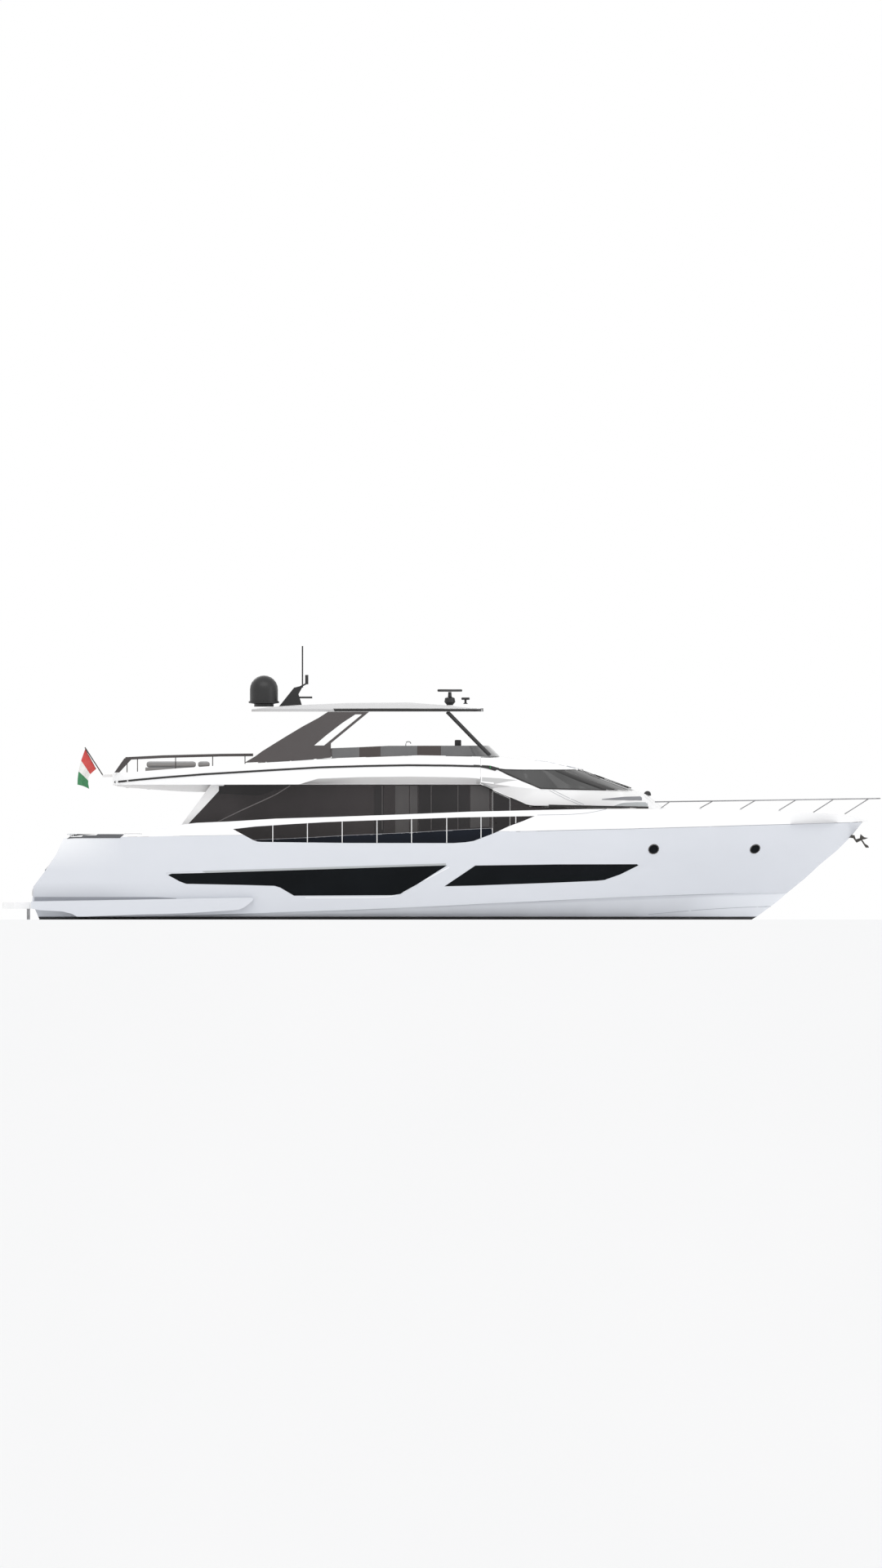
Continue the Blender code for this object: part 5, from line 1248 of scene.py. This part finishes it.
def add_hatches():
    """Flush deck hatches on the coachroof, with their dark panes and frames."""
    tree = surface_of("foredeck")
    frames = bmesh.new()
    panes = bmesh.new()
    for x, y in ((7.75, -0.85), (7.75, 0.85)):
        point, normal = tree.ray_cast(Vector((x, y, 9)), Vector((0, 0, -1)))[:2]
        turn = Vector((0, 0, 1)).rotation_difference(normal).to_matrix()
        for low, high, target in (((-0.3, -0.3, -0.01), (0.3, 0.3, 0.018), frames),
                                  ((-0.265, -0.265, 0.0), (0.265, 0.265, 0.021), panes)):
            made = add_block(target, low, high, 0.012, segments=3)
            bmesh.ops.rotate(target, verts=made, cent=(0, 0, 0), matrix=turn)
            bmesh.ops.translate(target, vec=point, verts=made)
    end_closed(frames, "hatch_frames", "dark_steel")
    end_closed(panes, "hatch_panes", "hull_glass")


# Helms, wipers, lights, and other single fittings

def wheel(bm, centre, radius, tilt):
    """A steering wheel with a padded rim, three spokes and a boss, its face turned aft."""
    turn = Matrix.Rotation(tilt, 3, "Y")
    rim = [Vector(centre) + turn @ Vector((0, radius * cos(a), radius * sin(a)))
           for a in [2 * pi * k / 40 for k in range(40)]]
    add_tube(bm, rim, 0.014, 10, closed=True)
    for k in range(3):
        angle = 2 * pi * k / 3 + pi / 2
        tip = Vector(centre) + turn @ Vector((0, radius * cos(angle), radius * sin(angle)))
        root = Vector(centre) + turn @ Vector((0.02, 0.03 * cos(angle), 0.03 * sin(angle)))
        add_tube(bm, [root, (root + tip) / 2, tip], [0.012, 0.009, 0.008], 8)
    add_lathe(bm, [(0, -0.02), (0.04, -0.02), (0.045, 0.0), (0.03, 0.12), (0, 0.12)], centre, 20,
              turn @ Matrix.Rotation(radians(90), 3, "Y"))


def screens(name, node, x_aft, z, count, body="root"):
    """Display panels on a helm's sloping face."""
    low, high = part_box(node)
    frames = bmesh.new()
    faces = bmesh.new()
    tree = surface_of(node)
    width = (high.y - low.y - 0.3) / count
    for k in range(count):
        y = low.y + 0.15 + (k + 0.5) * width
        found = tree.ray_cast(Vector((low.x - 1, y, z)), Vector((1, 0, 0)))
        if found[0] is None:
            continue
        turn = found[1].to_track_quat("X", "Z").to_matrix()
        for target, half, depth in ((frames, 0.0, 0.012), (faces, 0.018, 0.0145)):
            reach = width / 2 - 0.03 - half
            made = add_block(target, (-0.008, -reach, -0.13 + half), (depth, reach, 0.13 - half), 0.004)
            bmesh.ops.rotate(target, verts=made, cent=(0, 0, 0), matrix=turn)
            bmesh.ops.translate(target, vec=found[0], verts=made)
    end_closed(frames, name + "_frames", "rubber")
    end_closed(faces, name + "_faces", "screen_black")


def throttles(bm, place):
    add_block(bm, Vector(place) + Vector((-0.07, -0.05, 0)), Vector(place) + Vector((0.07, 0.05, 0.04)), 0.012)
    for y in (-0.022, 0.022):
        foot = Vector(place) + Vector((0, y, 0.03))
        head = foot + Vector((-0.03, 0, 0.12))
        add_tube(bm, [foot, (foot + head) / 2, head], [0.008, 0.007, 0.007], 8)
        add_lathe(bm, [(0, -0.014), (0.014, -0.008), (0.016, 0.006), (0.008, 0.016), (0, 0.018)], head, 14)


def add_helms():
    wheels = bmesh.new()
    low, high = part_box("fly_helm_console")
    wheel(wheels, (low.x - 0.03, -1.15, 5.0), 0.17, radians(-18))
    throttles(wheels, ((low.x + high.x) / 2, -0.6, high.z - 0.05))
    low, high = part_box("lower_helm")
    wheel(wheels, (low.x - 0.02, -0.75, 3.35), 0.19, radians(-18))
    throttles(wheels, (low.x + 0.2, -0.3, high.z - 0.05))
    end_closed(wheels, "helm_wheels_and_throttles", "rubber", 50)
    screens("fly_screens", "fly_helm_console", 0.2, 5.05, 3)
    screens("lower_screens", "lower_helm", 4.2, 3.5, 4)
    bm = bmesh.new()
    add_block(bm, (0.42, -1.5, 5.2), (0.62, -0.1, 5.5), 0.03, segments=3)
    end_closed(bm, "display_hood", "gear_black")
    tap = bmesh.new()
    add_tube(tap, [(-1.08, 1.5, 5.22), (-1.08, 1.5, 5.38), (-1.06, 1.5, 5.43), (-1.0, 1.5, 5.45),
                   (-0.94, 1.5, 5.43), (-0.92, 1.5, 5.38)], 0.016, 12)
    add_lathe(tap, [(0, 0), (0.035, 0), (0.03, 0.02), (0, 0.02)], (-1.08, 1.5, 5.245), 16)
    end_closed(tap, "bar_tap", "stainless", 50)


def add_wipers():
    tree = surface_of("windscreen", "wheelhouse")
    bm = bmesh.new()
    for foot_y, tip_y in ((-0.95, -0.25), (0.95, 0.25), (-1.5, -1.35)):
        arm = []
        for k in range(9):
            share = k / 8
            y = foot_y + (tip_y - foot_y) * share
            z = 4.0 + 0.42 * share
            found = tree.ray_cast(Vector((9, y, z)), Vector((-1, 0, 0)))
            if found[0] is not None:
                arm.append(found[0] + found[1] * 0.03)
        if len(arm) < 4:
            continue
        add_tube(bm, arm, [0.014 - 0.001 * k for k in range(len(arm))], 8)
        tip = arm[-1]
        blade = []
        for k in range(9):
            share = (k - 4) / 4 * 0.32
            found = tree.ray_cast(Vector((9, tip.y + share * 0.4, tip.z + share * 0.45)), Vector((-1, 0, 0)))
            if found[0] is not None:
                blade.append(found[0] + found[1] * 0.014)
        if len(blade) > 3:
            add_tube(bm, blade, 0.008, 8)
    end_closed(bm, "wipers", "rubber", 60)


def add_roof_fittings():
    bm = bmesh.new()
    add_block(bm, (0.625, -0.09, 6.725), (0.875, 0.09, 6.8), 0.02, segments=3)
    add_lathe(bm, [(0, 0), (0.07, 0), (0.065, 0.02), (0.035, 0.04), (0.035, 0.13), (0, 0.13)], (0.75, 0, 6.6), 20)
    end_closed(bm, "search_light", "gear_black")
    lens = bmesh.new()
    add_lathe(lens, [(0, 0), (0.034, 0), (0.03, 0.006), (0, 0.01)], (0.872, 0, 6.7625), 20,
              Matrix.Rotation(radians(90), 3, "Y"))
    end_closed(lens, "search_light_lens", "clear_lens")
    ring = bmesh.new()
    add_lathe(ring, [(0.425, 0), (0.436, 0.0), (0.438, 0.012), (0.436, 0.024), (0.425, 0.024), (0.425, 0)],
              (-5.42, 0, 6.68), 48)
    end_closed(ring, "dome_seam", "line_black")
    tree = surface_of("hardtop")
    lay_panels("hardtop_edge", "line_black", tree,
               [(((-3.3, 6.463), (-1.0, 6.465), (1.29, 6.465)), ((-3.25, 6.372), (-1.0, 6.372), (1.29, 6.372)))],
               rows=10, step=0.1, proud=0.014)
    nose = surface_of("wheelhouse")
    bump = bmesh.new()
    add_lathe(bump, [(0, -0.03), (0.11, -0.03), (0.11, 0.02), (0.095, 0.07), (0.06, 0.105), (0, 0.12)],
              (NOSE_BUMP_X, 0, top_hit(nose, NOSE_BUMP_X, 0, 3.6)), 28)
    end_closed(bump, "nose_camera", "gear_black")
    for side, finish in ((-1, "green_lens"), (1, "red_lens")):
        lamp = bmesh.new()
        x, z = NAV_LIGHT
        point, turn = surface_frame(surface_of("wheelhouse"), x, z, side)
        made = add_block(lamp, (-0.03, -0.012, -0.005), (0.03, 0.012, 0.026), 0.005, segments=3)
        bmesh.ops.rotate(lamp, verts=made, cent=(0, 0, 0), matrix=turn)
        bmesh.ops.translate(lamp, vec=point, verts=made)
        end_closed(lamp, "side_light_" + ("starboard" if side < 0 else "port"), finish)


GLASS_PANES = (((-2.05, -1.75), "pane_dark"), ((-1.4, -0.98), "pane_light"), ((-0.95, -0.72), "pane_light"),
               ((-0.675, 0.88), "pane_dark"), ((0.9, 1.48), "pane_light"))


def add_glass_panes():
    """The darker and lighter fields of the side glass, where posts and furniture stand behind it."""
    tree = surface_of("side_glass_port", "side_glass_starboard")
    for k, ((aft, fore), finish) in enumerate(GLASS_PANES):
        top = 4.095
        steps = [aft + (fore - aft) * i / 4 for i in range(5)]
        upper = [(x, min(top, 4.135 - max(0, x - 1.22) * 0.45)) for x in steps]
        lower = [(x, 2.66 + 0.075 * (x + 1)) for x in steps]
        lay_panels("glass_field_%d" % k, finish, tree, [(upper, lower)], slot="dark_glass", proud=0.002,
                   depth=0.006)


def add_side_frames():
    """Handles on the doors, and the dark seal between the arches and the windshield."""
    shield = surface_of("fly_windshield")
    seals = bmesh.new()
    for side in SIDES:
        points = [(-3.358, side_hit(shield, -3.33, z, side, side * 2.6), z) for z in (4.99, 5.06, 5.13, 5.2, 5.24)]
        add_tube(seals, points, 0.021, 10)
    end_closed(seals, "shield_seals", "arch_bronze", 50)
    for side in SIDES:
        name = "side_door_" + ("port" if side > 0 else "starboard")
        edge = bmesh.new()
        side_line(edge, surface_of(name), DOOR_FRAME, 0.035, sides=(side,), proud=0.006)
        end_closed(edge, name + "_edge", "line_black", body=body_of_node[name])
    handles = bmesh.new()
    for side in SIDES:
        add_tube(handles, [(1.68, side * 2.384, 2.95), (1.68, side * 2.42, 2.98), (1.68, side * 2.425, 3.1),
                           (1.68, side * 2.42, 3.22), (1.68, side * 2.384, 3.25)], 0.011, 10)
        end_name = "side_door_" + ("port" if side > 0 else "starboard")
        end_closed(handles, end_name + "_handle", "dark_steel", 50, body_of_node[end_name])
        handles = bmesh.new()
        door = "saloon_door_" + ("port" if side > 0 else "starboard")
        add_tube(handles, [(-6.152, side * 0.1, 2.95), (-6.19, side * 0.1, 2.98), (-6.195, side * 0.1, 3.15),
                           (-6.19, side * 0.1, 3.32), (-6.152, side * 0.1, 3.35)], 0.011, 10)
        end_closed(handles, door + "_handle", "stainless", 50, body_of_node[door])
        handles = bmesh.new()
    handles.free()


def add_stern_fittings():
    """Grab rails on the stern stairs and lights in the transom."""
    rails = bmesh.new()
    tree = surface_of("hull", "bulwarks")
    for side in SIDES:
        y = side * 2.0
        points = []
        for k in range(9):
            x = -12.15 + 0.09 * k
            z = top_hit(tree, x, y, 1.0)
            points.append((x, y, z))
        start = Vector(points[0])
        end = Vector(points[-1])
        lift = Vector((0, 0, 0.62))
        top = [start + (end - start) * share + lift for share in (0.06, 0.3, 0.5, 0.7, 0.94)]
        add_tube(rails, [start, start + lift * 0.9] + top + [end + lift * 0.9, end], 0.018, 12)
    end_closed(rails, "stair_rails", "stainless", 60)
    lamp = bmesh.new()
    add_lathe(lamp, [(0, -0.004), (0.03, -0.004), (0.03, 0.004), (0.022, 0.007), (0, 0.009)], (0, 0, 0), 20)
    places = []
    for y in (-2.35, -1.75, 1.75, 2.35):
        found = tree.ray_cast(Vector((-15, y, 0.78)), Vector((1, 0, 0)))
        if found[0] is not None:
            places.append((found[0], turn_to(found[1])))
    repeat("transom_lights", lamp, places, "clear_lens")


make_camera()
make_setting()
dress_nodes()
lay_side_details()
add_portholes()
add_cushions()
add_ensign()
add_repeated_fittings()
add_helms()
add_wipers()
add_roof_fittings()
add_glass_panes()
add_side_frames()
add_stern_fittings()
